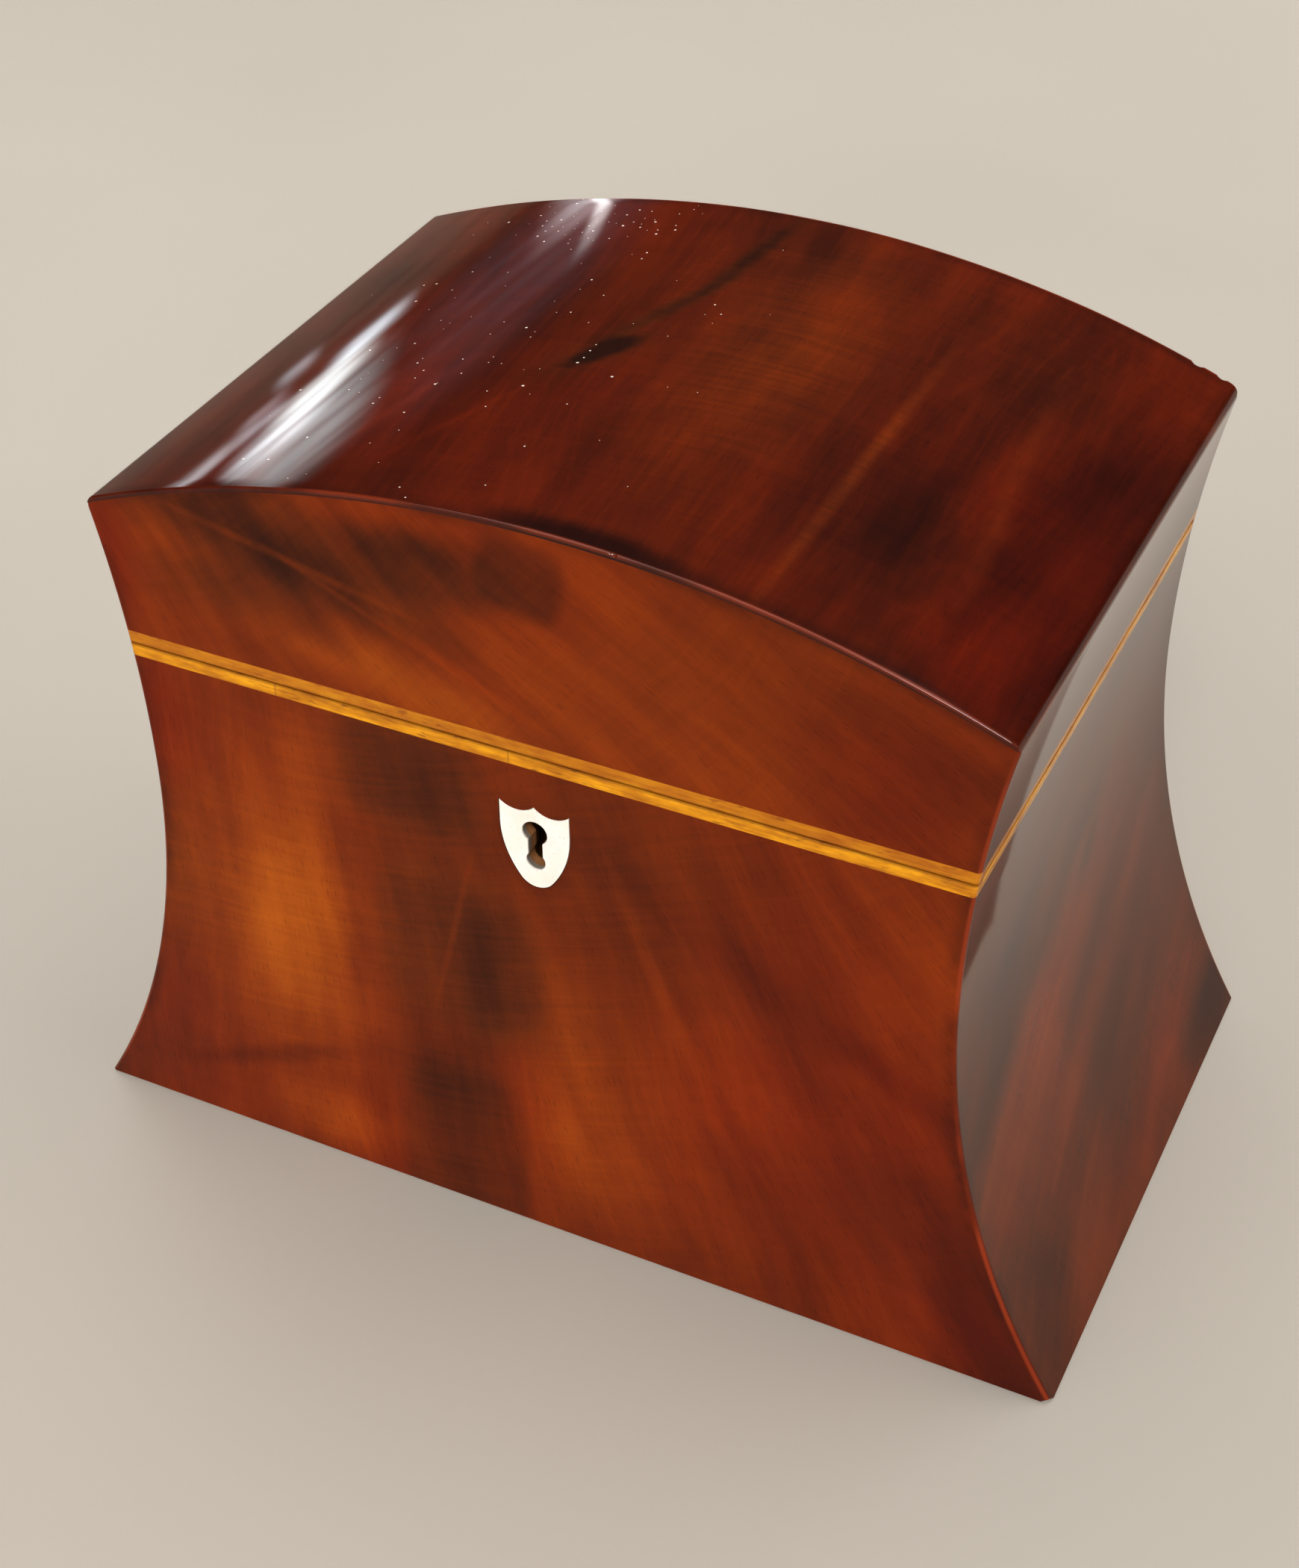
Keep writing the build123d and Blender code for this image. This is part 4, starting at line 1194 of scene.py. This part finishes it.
def mahogany(
    name,
    plane,
    hub,
    patches,
    tone,
    redness,
    swirl=9.0,
    polish=1.3,
    ripple=1.0,
    pores=0.25,
    dust=(),
):
    """Polished mahogany.

    The hub is in millimetres, and so is the swirl, which is how far the grain wanders. Tone and redness
    are the leaf's own, before its patches. The polish is the coat's index: the higher it is, the more the
    leaf mirrors. Ripple and pores say how strong those marks are. The dust-and-glints list holds patches
    with white specks: dust, and where the specks crowd, painted glints.
    """
    material, tree, shader = new_material(name)
    solid_place = object_place(tree)
    place = on_plane(tree, solid_place, plane)
    flow_inputs = {
        "Place": place,
        "Hub": (hub[0] * mm, hub[1] * mm, 0),
        "Reach": math.hypot(hub[0], hub[1] - leaf_middle_mm) * mm,
        "Swirl": swirl * mm,
        "Swirl Scale": 16.0,
    }
    flow = use_group(tree, flow_group, flow_inputs)["Flow"]
    marks = use_group(tree, marks_group, {"Flow": flow})
    fine_edge = grain_noise(tree, flow, along=90, across=190, detail=3.0, roughness=0.6, output="Color")
    slow_edge = cloud(tree, place, scale=38.0, detail=2.0, output="Color")
    rough_edge = vector_maths(tree, "ADD", fine_edge, slow_edge)
    rough_edge = vector_maths(tree, "SUBTRACT", rough_edge, (1.0, 1.0, 1.0))
    rough_edge = vector_maths(tree, "MULTIPLY", rough_edge, edge_waver)
    on_leaf = {"Place": place, "Edge Noise": rough_edge}
    slow = cloud(tree, place, scale=26.0, detail=3.0, roughness=0.5)
    value = about(tree, tone, marks["Streaks"], spread=0.34)
    value = about(tree, value, slow, spread=0.45)
    red = about(tree, redness, cloud(tree, place, scale=13.0, detail=2.0, roughness=0.5), spread=1.2)
    for inputs, patch_tone, patch_red in patches:
        mask = use_group(tree, patch_group, {**on_leaf, **inputs})["Mask"]
        value = maths(tree, "MULTIPLY_ADD", mask, patch_tone, value)
        red = maths(tree, "MULTIPLY_ADD", mask, patch_red, red)
    red = maths(tree, "ADD", red, 0.0, clamp=True)
    silk = remap(tree, red, *red_range, to_low=0.20 * ripple, to_high=0.07 * ripple)
    grain = remap(tree, red, *red_range, to_low=0.06, to_high=0.12)
    value = about(tree, value, marks["Ripple"], silk)
    value = about(tree, value, marks["Threads"], grain)
    value = maths(tree, "MULTIPLY_ADD", marks["Lines"], times(tree, grain, 0.16), value)
    brown_colour = colour_steps(tree, value, brown_scale)
    red_colour = colour_steps(tree, value, red_scale)
    colour = blend(tree, red, brown_colour, red_colour)
    colour = blend(tree, times(tree, marks["Pores"], pores), colour, dark_filler)
    arris = use_group(tree, arris_group, {"Place": solid_place})["Distance"]
    beside_arris = remap(tree, arris, *dirt_zone, to_low=1.0, to_high=0.0)
    handling = cloud(tree, solid_place, scale=55.0, detail=4.0, roughness=0.6)
    dirt = times(tree, beside_arris, remap(tree, handling, 0.35, 0.65))
    colour = blend(tree, times(tree, dirt, 0.5), colour, arris_dirt)
    on_arris = remap(tree, arris, *worn_zone, to_low=1.0, to_high=0.0)
    rubbing = cloud(tree, solid_place, scale=40.0, detail=2.0, roughness=0.5)
    worn = times(tree, on_arris, remap(tree, rubbing, 0.62, 0.4))
    height = axes_of(tree, solid_place)["Z"]
    bareness = remap(tree, height, *shoulder_heights, to_low=0.7, to_high=0.4)
    colour = blend(tree, times(tree, worn, bareness), colour, worn_wood)
    # White specks: dust, and where they crowd near the dome's back edge, painted glints.
    for inputs, share, _ in dust:
        dust_and_glint_mask = use_group(tree, patch_group, {**on_leaf, **inputs})["Mask"]
        specks = use_group(tree, dust_and_glint_group, {"Place": place, "Share": times(tree, dust_and_glint_mask, share)})
        colour = blend(tree, times(tree, specks["Specks"], 0.8), colour, dust_and_glint_white)
    rough = maths(tree, "MULTIPLY_ADD", dirt, 0.2, 0.45)
    coat = {"Specular IOR Level": 0.0, "Coat Weight": 1.0, "Coat Roughness": 0.045, "Coat IOR": polish}
    fill(tree, shader, {"Base Color": colour, "Roughness": rough, **coat})
    relief = maths(tree, "MULTIPLY_ADD", marks["Threads"], 0.5, times(tree, marks["Pores"], -1.0))
    add_bump(tree, shader, relief, strength=0.12, distance=0.05 * mm)
    return material


# %% [markdown]
# ## The front
#
# The front of the case has an orange glow on its left, a smoky upright band left of the keyhole, and
# warm streaks that lean to the right as they fall. The lid's front carries the smoke on over its left
# half.

# %% Finish the front
front_patches = [
    patch(-50, 48, 20, 34, turn=4, tone=0.16, red=-0.5, soft=0.95),
    patch(-45, 56, 9, 20, turn=-8, tone=0.10, red=-0.2),
    patch(-40, 90, 7, 14, tone=0.10, red=-0.1),
    patch(-54, 20, 21, 2.4, turn=24, tone=-0.13),
    patch(-44, 9, 16, 8, turn=12, tone=0.14, red=-0.2, soft=0.8),
    patch(-86, 12, 13, 26, turn=-14, tone=-0.12, red=0.1, soft=0.8),
    patch(-72, 92, 12, 18, tone=-0.04, red=0.4),
    patch(-74, 60, 10, 20, tone=0.06, red=-0.3),
    patch(-22.5, 94, 14, 12, tone=-0.11, red=-0.3, soft=0.3, square=1.0),
    patch(-15, 58, 15.5, 18, turn=-2, tone=-0.04, red=-0.3, soft=0.3, square=0.8),
    patch(-6, 57, 8, 15, tone=-0.12, red=-0.3, soft=0.5, square=0.8),
    patch(-15.5, 2, 13, 32, tone=-0.14, red=-0.3, soft=0.2, square=1.0),
    patch(-18, 50, 12.5, 62, turn=-3, tone=-0.07, red=-0.2, soft=0.4, square=0.7),
    patch(-15, 64, 0.7, 19, turn=-14, tone=0.09, red=0.2),
    patch(8, 40, 12, 34, turn=14, tone=0.12, red=-0.3),
    patch(4, 14, 9, 16, tone=0.01, red=-0.2, soft=0.6),
    patch(26, 56, 1.8, 46, turn=22, tone=0.08),
    patch(34, 60, 5, 44, turn=22, tone=0.06),
    patch(52, 50, 24, 50, turn=10, tone=0.04, red=0.35),
    patch(34, 76, 24, 5.0, turn=-30, tone=-0.06, red=0.1),
    patch(62, 61, 14, 4.0, turn=-32, tone=-0.08, red=0.1),
    patch(72, 40, 10, 30, turn=14, tone=-0.06, red=0.2),
    patch(88, 8, 16, 26, turn=12, tone=-0.16, red=0.4),
    patch(0.8, 86.5, 7.4, 9.4, tone=-0.06, soft=0.3, square=0.5),
]
lid_front_patches = [
    patch(-48, 131, 8, 4.5, tone=0.13),
    patch(-18, 137, 17, 4.5, turn=2, tone=-0.12, red=-0.1),
    patch(-20, 124, 8, 5, turn=-20, tone=0.14),
    patch(-37, 117, 9, 4, turn=-14, tone=-0.10),
    patch(20, 126, 12, 6, turn=-20, tone=0.05),
    patch(-40, 129, 34, 13, turn=-8, tone=-0.12, red=-0.3, soft=0.8),
    patch(-48, 134, 20, 8, turn=4, tone=-0.15, red=-0.3, soft=0.7),
    patch(-34, 127, 26, 6, turn=-14, tone=-0.22, red=-0.3, soft=0.8),
    patch(-56, 120, 14, 6, turn=8, tone=-0.12, red=-0.3, soft=0.8),
    patch(-15, 133, 15, 7, turn=-8, tone=-0.22, red=-0.3, soft=0.6),
    patch(0, 136, 7.5, 7, turn=-10, tone=-0.18, red=-0.2, soft=0.3, square=0.9),
    patch(-42, 129, 22, 0.9, turn=-12, tone=0.14, red=0.2),
    patch(-30, 124, 18, 0.7, turn=-24, tone=0.10, red=0.2),
    patch(-12, 117, 18, 1.2, turn=-26, tone=0.10, red=0.2),
    patch(-24, 112, 26, 6, turn=-12, tone=0.11, red=-0.3, soft=0.8),
    patch(25, 118, 20, 16, turn=-30, tone=0.06),
    patch(60, 118, 16, 16, tone=-0.10, red=0.3),
    patch(-75, 120, 7, 16, tone=-0.02, red=0.5),
]
character = {"tone": 0.44, "redness": 0.5, "polish": 1.26, "ripple": 0.75}
finish = mahogany("Flame mahogany, front", "front", (-60, 260), front_patches, **character)
dress(finish, "front_veneer")
character = {"tone": 0.5, "redness": 0.5, "swirl": 16, "polish": 1.26, "ripple": 0.5}
finish = mahogany("Flame mahogany, lid front", "front", (-130, 230), lid_front_patches, **character)
dress(finish, "lid_front_veneer")

# %% [markdown]
# ## The dome, the ends and the back
#
# The dome is darker and redder, with its grain running from front to back and a black vein that
# wanders from the middle to the back edge. The ends are plainer and browner leaves, whose grain lies
# more along the box than up it. The back was seldom seen, so its leaf is the plainest.

# %% Finish the other leaves
dome_patches = [
    patch(-12, -2, 2.4, 7.5, turn=-28, tone=-0.34, red=-0.9, soft=0.95),
    patch(-13.5, -3, 6, 14, turn=-28, tone=-0.06, red=-0.4),
    patch(-8, 16, 1.8, 16, turn=-20, tone=-0.13, red=-0.8, soft=0.95),
    patch(-3.5, 38, 1.8, 18, turn=-8, tone=-0.14, red=-0.6, soft=0.95),
    patch(-24, -30, 1.0, 16, turn=-22, tone=0.05, soft=0.95),
    patch(-36, -30, 1.2, 22, turn=-12, tone=0.05, soft=0.95),
    patch(14, 4, 16, 36, tone=0.07, red=-0.5, soft=0.95),
    patch(36.5, -15, 1.4, 40, tone=0.09, red=-0.6, soft=0.95),
    patch(57, -5, 1.8, 42, turn=6, tone=0.05, red=-0.2, soft=0.95),
    patch(46, -20, 8, 44, turn=2, tone=-0.12),
    patch(70, -20, 14, 50, tone=-0.05, red=0.5),
    patch(62, -40, 9, 15, tone=0.10, red=0.1, soft=0.95),
    patch(33, -24, 5, 18, turn=4, tone=-0.07, soft=0.95),
    patch(10, -53, 16, 3.5, tone=-0.26, soft=0.8),
    patch(-62, -20, 12, 60, tone=-0.06),
]
# White specks on the dome: the first patch crowds them near the back edge as painted glints of the light
# behind, and the second scatters a light dust.
dome_dust_and_glints = [
    patch(-36, 46, 18, 13, tone=0.8),
    patch(-30, 0, 36, 60, tone=0.14, soft=0.8),
]
end_patches = [
    patch(-9, 50, 9, 58, turn=-65, tone=0.17, red=0.25, soft=0.95),
    patch(-44, 34, 6, 16, turn=-50, tone=0.06, red=0.1, soft=0.95),
    patch(9, 63, 3, 8, turn=-60, tone=-0.18, red=-0.4),
    patch(-33, 57, 7, 18, turn=-60, tone=-0.14, red=-0.5),
    patch(14, 8, 5, 30, turn=-80, tone=0.03, red=0.3, soft=0.95),
    patch(4, 26, 6, 50, turn=-66, tone=-0.03, red=-0.1, soft=0.95),
    patch(-43, 12, 11, 14, turn=-40, tone=-0.10, red=-0.1),
    patch(46, 4, 7, 16, turn=-90, tone=-0.20, red=-0.4, soft=0.8),
    patch(36, 100, 20, 40, turn=-60, tone=-0.06, red=-0.3, soft=0.95),
]
back_patches = [
    patch(-30, 60, 20, 40, turn=10, tone=-0.16),
    patch(35, 50, 18, 40, turn=-10, tone=0.12, red=-0.3),
]
character = {"tone": 0.23, "redness": 0.72, "swirl": 8, "polish": 1.4, "dust": dome_dust_and_glints}
finish = mahogany("Flame mahogany, dome", "top", (60, -900), dome_patches, **character)
dress(finish, "lid_dome_veneer")
character = {"tone": 0.28, "redness": 0.1, "swirl": 6, "polish": 1.37, "ripple": 0.3, "pores": 0.05}
finish = mahogany("Flame mahogany, ends", "end", (-794, -301), end_patches, **character)
dress(finish, "left_end_veneer", "right_end_veneer", "lid_left_end_veneer", "lid_right_end_veneer")
character = {"tone": 0.42, "redness": 0.55, "swirl": 7}
back_finish = mahogany("Flame mahogany, back", "front", (40, 700), back_patches, **character)
dress(back_finish, "back_veneer", "lid_back_veneer")

# %% [markdown]
# ## Boxwood
#
# Boxwood is hard, yellow and very close in grain. Under old polish it turns golden, with darker
# flecks. Shade is painted along the groove between the two strips, and the lid's strip is painted
# browner than the case's, as the shade it lies in. The grain runs along each strip, so the front and
# end strips read different axes.


# %% Finish the boxwood
def boxwood(name, grain_turn, joints=()):
    """Golden boxwood, with its grain turned from X by some degrees and butt joints in the case's strip."""
    material, tree, shader = new_material(name)
    place = object_place(tree)
    turned_place = turned_about_z(tree, place, math.radians(grain_turn))
    parts = axes_of(tree, place)
    fibres = grain_noise(tree, turned_place, along=90, across=2200, detail=3.0, roughness=0.6)
    mottle = grain_noise(tree, turned_place, along=130, across=420, detail=3.0, roughness=0.6)
    flecks = grain_noise(tree, turned_place, along=300, across=1500, detail=2.0, roughness=0.6)
    value = maths(tree, "MULTIPLY_ADD", fibres, 0.35, times(tree, mottle, 0.65))
    stops = [(0.3, (140, 76, 4)), (0.5, (212, 138, 8)), (0.68, (242, 178, 24))]
    colour = colour_steps(tree, value, stops)
    fleck_share = times(tree, remap(tree, flecks, 0.6, 0.72), 0.6)
    colour = blend(tree, fleck_share, colour, srgb(92, 42, 10))
    joint_height = (case_rim + lid_rim) / 2
    from_rim = maths(tree, "ABSOLUTE", maths(tree, "SUBTRACT", parts["Z"], joint_height))
    # Painted shade: the wood is darkened each side of the joint, where the groove between the strips lies
    # in shadow.
    groove_painted_shade = remap(tree, from_rim, 0.15 * mm, 0.6 * mm, to_low=0.6, to_high=0.0)
    colour = blend(tree, groove_painted_shade, colour, srgb(96, 48, 8))
    on_case = maths(tree, "LESS_THAN", parts["Z"], joint_height)
    # Painted shade: the lid's strip is browned all over, standing in for the shade it lies in.
    lid_strip_painted_shade = maths(tree, "MULTIPLY_ADD", on_case, -0.5, 0.5)
    colour = blend(tree, lid_strip_painted_shade, colour, srgb(158, 82, 8))
    for joint in joints:
        beside = maths(tree, "ABSOLUTE", maths(tree, "SUBTRACT", parts["X"], joint * mm))
        joint_line = remap(tree, beside, 0.08 * mm, 0.25 * mm, to_low=0.3, to_high=0.0)
        colour = blend(tree, times(tree, joint_line, on_case), colour, srgb(60, 26, 8))
    coat = {"Specular IOR Level": 0.1, "Coat Weight": 0.6, "Coat Roughness": 0.08}
    fill(tree, shader, {"Base Color": colour, "Roughness": 0.42, **coat})
    add_bump(tree, shader, fibres, strength=0.2, distance=0.05 * mm)
    return material


boxwood_long = boxwood("Boxwood, front and back", 0, joints=(-44.9, -3.2))
boxwood_short = boxwood("Boxwood, ends", 90)
for owner in ("case", "lid"):
    dress(boxwood_long, f"{owner}_front_edging", f"{owner}_back_edging")
    dress(boxwood_short, f"{owner}_left_edging", f"{owner}_right_edging")

# %% [markdown]
# ## Bone
#
# Bone is a warm white, denser than ivory and without its lines. It shows fine short specks where its
# channels were cut through, and yellows a little in patches.

# %% Finish the bone
bone, tree, shader = new_material("Bone")
place = object_place(tree)
stain = cloud(tree, place, scale=160.0, detail=3.0, roughness=0.6)
specks = grain_noise(tree, place, along=2600, across=2600, detail=0.0)
colour = colour_steps(tree, stain, [(0.3, (238, 232, 218)), (0.7, (250, 248, 242))])
speck_share = times(tree, remap(tree, specks, 0.7, 0.8), 0.3)
colour = blend(tree, speck_share, colour, srgb(170, 140, 100))
depth = axes_of(tree, place)["Y"]
# Painted shade: the walls of the keyhole, behind the shield's face, are darkened to a grey-brown.
keyhole_painted_shade = times(tree, remap(tree, depth, front_y + 0.12 * mm, front_y + 0.5 * mm), 0.85)
keyhole_painted_shade = times(tree, keyhole_painted_shade, maths(tree, "LESS_THAN", depth, front_y + 2 * mm))
colour = blend(tree, keyhole_painted_shade, colour, srgb(84, 70, 54))
glow_through = {"Subsurface Weight": 0.15, "Subsurface Scale": 1.0 * mm}
fill(tree, shader, {"Base Color": colour, "Roughness": 0.35, "Coat Weight": 0.3, **glow_through})
add_bump(tree, shader, stain, strength=0.1, distance=0.1 * mm)
dress(bone, "shield_escutcheon", "left_inner_lid_knob", "right_inner_lid_knob")

# %% [markdown]
# ## Metals
#
# The hinges, lock and screws are brass that has dulled to brown where fingers don't reach. The bolt,
# spring and pins are steel. The compartments are lined with thin tinned foil, which keeps the tea dry
# and is dull and crumpled.


# %% Recipe: old metal
def old_metal(name, bright, dull, roughness, scale, spread=0.2, bump_depth=0.05 * mm):
    """A metal whose dulled patches are darker than the rest, and rougher by the spread.

    The scale is the number of patches in a metre.
    """
    material, tree, shader = new_material(name)
    place = object_place(tree)
    tarnish = remap(tree, cloud(tree, place, scale, detail=4.0, roughness=0.6), 0.35, 0.65)
    colour = blend(tree, tarnish, srgb(*bright), srgb(*dull))
    rough = maths(tree, "MULTIPLY_ADD", tarnish, spread, roughness)
    fill(tree, shader, {"Base Color": colour, "Roughness": rough, "Metallic": 1.0})
    marks = cloud(tree, place, scale=scale * 6, detail=3.0, roughness=0.6)
    add_bump(tree, shader, marks, 0.3, bump_depth)
    return material


brass = old_metal("Old brass", (214, 172, 96), (140, 98, 48), roughness=0.28, scale=220.0)
steel = old_metal("Old steel", (150, 146, 140), (92, 78, 66), roughness=0.35, scale=300.0)
crumpled = {"roughness": 0.38, "scale": 90.0, "spread": 0.15, "bump_depth": 0.4 * mm}
foil = old_metal("Tinned foil", (176, 176, 172), (118, 116, 112), **crumpled)
print("metals:", brass.name, steel.name, foil.name)

# %% [markdown]
# ## Carcass wood and paper
#
# The boards under the veneer are straight-grained and plain, browned by age. The lid is lined with
# paper, which has gone the colour of tea and is spotted here and there.


# %% Finish the boards and the paper
def plain_wood(name, hub):
    """Straight-grained bare wood, with its grain running towards a hub a metre away."""
    material, tree, shader = new_material(name)
    place = object_place(tree)
    flow_inputs = {"Place": place, "Hub": hub, "Reach": 1.0, "Swirl": 3 * mm, "Swirl Scale": 9.0}
    flow = use_group(tree, flow_group, flow_inputs)["Flow"]
    rings = grain_noise(tree, flow, along=8, across=420, detail=3.0, roughness=0.55)
    fibres = grain_noise(tree, flow, along=120, across=3000, detail=2.0, roughness=0.6)
    value = maths(tree, "MULTIPLY_ADD", fibres, 0.3, times(tree, rings, 0.7))
    stops = [(0.3, (96, 60, 34)), (0.5, (134, 90, 54)), (0.72, (160, 116, 74))]
    fill(tree, shader, {"Base Color": colour_steps(tree, value, stops), "Roughness": 0.68})
    add_bump(tree, shader, value, strength=0.3, distance=0.1 * mm)
    return material


wood_along_x = plain_wood("Carcass wood, long boards", (1.0, 0.0, 0.0))
wood_along_y = plain_wood("Carcass wood, end blocks", (0.0, 1.0, 0.0))

paper, tree, shader = new_material("Lining paper")
place = object_place(tree)
mottle = cloud(tree, place, scale=60.0, detail=5.0, roughness=0.6)
spots = cloud(tree, place, scale=260.0, detail=1.0, roughness=0.5)
colour = colour_steps(tree, mottle, [(0.3, (196, 170, 128)), (0.7, (222, 202, 164))])
spot_share = times(tree, remap(tree, spots, 0.7, 0.78), 0.6)
colour = blend(tree, spot_share, colour, srgb(128, 84, 44))
fill(tree, shader, {"Base Color": colour, "Roughness": 0.85})
tooth = cloud(tree, place, scale=2500.0, detail=2.0, roughness=0.6)
add_bump(tree, shader, tooth, strength=0.2, distance=0.05 * mm)

finish = mahogany("Mahogany, inner lids", "top", (20, -800), [], tone=0.42, redness=0.5, swirl=5.0)
dress(finish, "left_inner_lid", "right_inner_lid")

# %% [markdown]
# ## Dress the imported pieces
#
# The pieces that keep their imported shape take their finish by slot. The boards that run from front to
# back get the wood whose grain runs that way.

# %% Give the remaining nodes their materials
finish_of_slot = {
    "carcass_wood": wood_along_x,
    "brass": brass,
    "steel": steel,
    "tinned_foil": foil,
    "lining_paper": paper,
    "bone": bone,
    "boxwood": boxwood_long,
    "flame_mahogany": back_finish,
}
across_words = ("end", "left_lining", "right_lining", "partition")
for name, node in nodes.items():
    finish = finish_of_slot[slot_of[name]]
    if finish is wood_along_x and any(word in name for word in across_words):
        finish = wood_along_y
    node.material_slots[0].material = finish
print("dressed", len(nodes), "nodes")

# %% [markdown]
# ## Floor and lamp
#
# The caddy stands on a plain pale floor. It matters beyond its look, because the polished ends
# mirror it. The only lamp is a wide panel overhead, which softens the shadows. All other light comes
# from the room round the caddy.

# %% Make the floor
floor_bm = bmesh.new()
floor_half = 4.0
bmesh.ops.create_grid(floor_bm, x_segments=1, y_segments=1, size=floor_half)
floor_mesh = bpy.data.meshes.new("floor")
floor_bm.to_mesh(floor_mesh)
floor_bm.free()
floor = place_object("floor", floor_mesh)
floor_finish, tree, shader = new_material("Pale floor")
wash = cloud(tree, object_place(tree), scale=3.0, detail=3.0, roughness=0.5)
floor_colour = colour_steps(tree, wash, [(0.3, (160, 154, 144)), (0.7, (170, 164, 154))])
fill(tree, shader, {"Base Color": floor_colour, "Roughness": 0.75})
floor_mesh.materials.append(floor_finish)
print(f"floor {2 * floor_half:.0f} m wide")

# %% Make the lamp
lamp = bpy.data.lights.new("overhead panel", "AREA")
lamp.size = 2.4
lamp.energy = 42.0
lamp.color = (1.0, 0.98, 0.96)
panel = place_object("overhead panel", lamp)
panel_place = Vector((-0.2, 0.7, 2.3))
panel_aim = Vector((0, 0, 0.05))
panel_turn = (panel_aim - panel_place).to_track_quat("-Z", "Y").to_matrix().to_4x4()
panel.matrix_world = Matrix.Translation(panel_place) @ panel_turn
print(f"lamp {(panel_place - panel_aim).length:.1f} m from the caddy")

# %% [markdown]
# ## The room
#
# A polished box shows the room it stands in. Here the room is dim and brightens towards the horizon.
# Three broad glows give most of the light: a wide one in front, a small bright one to the right of
# it, and one on the right. A group of small soft windows stands low behind the caddy on the left.
# They make the long highlight on the dome's left shoulder, and the last two of them the sparkle at
# the dome's back edge. All are drawn in the world as directions, because a window with blurred edges
# is easier to make there than with a lamp, and its mirror image has no hard corners from any side.
# Each row in the two tables has the azimuth, the elevation and half the width and height in degrees,
# then the strength and the colour.

# %% Light the room
blur_from = 0.35
blur_to = 1.65


def sky_window(tree, direction, azimuth, elevation, half_width, half_height):
    """A soft-edged bright rectangle in the sky. Angles are in degrees, the azimuth from +X towards +Y."""
    turn, lift = math.radians(azimuth), math.radians(elevation)
    ahead = Vector((math.cos(lift) * math.cos(turn), math.cos(lift) * math.sin(turn), math.sin(lift)))
    side = Vector((-math.sin(turn), math.cos(turn), 0.0))
    above = ahead.cross(side)
    shares = []
    for axis, half in ((side, half_width), (above, half_height)):
        off_middle = maths(tree, "ABSOLUTE", measured(tree, "DOT_PRODUCT", direction, axis))
        edge = math.sin(math.radians(half))
        shares.append(remap(tree, off_middle, blur_from * edge, blur_to * edge, to_low=1.0, to_high=0.0))
    facing = measured(tree, "DOT_PRODUCT", direction, ahead)
    return times(tree, times(tree, *shares), maths(tree, "GREATER_THAN", facing, 0.0))


world = bpy.data.worlds.new("room")
bpy.context.scene.world = world
world.use_nodes = True
room = world.node_tree
background = room.nodes["Background"]
direction = put(room, "ShaderNodeTexCoord").outputs["Generated"]
height = axes_of(room, direction)["Z"]
room_stops = [
    (0.0, (168, 158, 146)),
    (0.05, (112, 104, 95)),
    (0.14, (64, 58, 53)),
    (0.35, (44, 40, 38)),
    (1.0, (118, 118, 120)),
]
room_light = colour_steps(room, height, room_stops)
broad_glows = [
    (262, 38, 30, 16, 1.7, (1.0, 0.98, 0.95)),
    (292, 45, 9, 8, 25.0, (1.0, 0.98, 0.98)),
    (14, 30, 20, 14, 1.8, (1.0, 0.98, 0.95)),
]
windows = [
    (131.3, 7.9, 0.9, 0.9, 3.3, (0.78, 0.92, 1.0)),
    (132.6, 9.5, 1.2, 1.2, 5.0, (0.9, 1.0, 1.0)),
    (133.8, 11.1, 1.3, 1.4, 4.2, (0.86, 0.95, 1.0)),
    (133.4, 5.0, 0.5, 0.8, 1.2, (0.85, 0.9, 1.0)),
    (134.4, 7.6, 0.6, 1.1, 1.6, (0.85, 0.9, 1.0)),
    (136.4, 7.8, 1.2, 0.7, 2.1, (0.88, 0.94, 1.0)),
    (132.8, 13.6, 1.8, 2.8, 2.2, (0.82, 0.98, 1.0)),
    (130.0, 5.0, 7.0, 3.2, 0.12, (1.0, 0.9, 0.7)),
    (125.6, 14.6, 3.5, 4.0, 0.26, (0.75, 0.75, 1.0)),
    (123.8, 12.4, 0.3, 3.0, 4.5, (1.0, 1.0, 1.0)),
    (123.8, 11.4, 1.6, 1.9, 2.0, (0.95, 0.97, 1.0)),
]
streaky_place = vector_maths(room, "MULTIPLY", direction, (14.0, 14.0, 75.0))
streakiness = cloud(room, streaky_place, scale=1.0, detail=2.0, roughness=0.5)
streakiness = remap(room, streakiness, 0.35, 0.6, to_low=0.55, to_high=1.1)
for rows, streaks in ((broad_glows, 1.0), (windows, streakiness)):
    for *where, strength, colour in rows:
        amount = times(room, sky_window(room, direction, *where), streaks)
        added = scaled(room, colour, times(room, amount, strength))
        room_light = vector_maths(room, "ADD", room_light, added)
fill(room, background, {"Color": room_light, "Strength": 1.0})
print(len(broad_glows), "broad glows and", len(windows), "windows")

# %% [markdown]
# ## The camera
#
# The camera stands where the photographer stood: in front, to the right and well above. Its place and
# its direction were worked out from the corners of the caddy in the photograph.

# %% Place the camera
camera_place = Vector((153.85, -326.83, 340.99)) * mm
camera_right = Vector((0.9013, 0.4331, -0.0088))
camera_up = Vector((-0.2594, 0.5560, 0.7897))
camera_back = camera_right.cross(camera_up)
camera_data = bpy.data.cameras.new("camera")
camera_data.lens = 59.31
camera_data.clip_start = 0.01
camera = place_object("camera", camera_data)
turn = Matrix((camera_right, camera_up, camera_back)).transposed()
camera.matrix_world = Matrix.Translation(camera_place) @ turn.to_4x4()
bpy.context.scene.camera = camera
bpy.context.scene.view_settings.view_transform = "Standard"
bpy.context.scene.view_settings.look = "Medium High Contrast"
print(f"camera {camera_place.length:.2f} m from the middle of the caddy's foot")
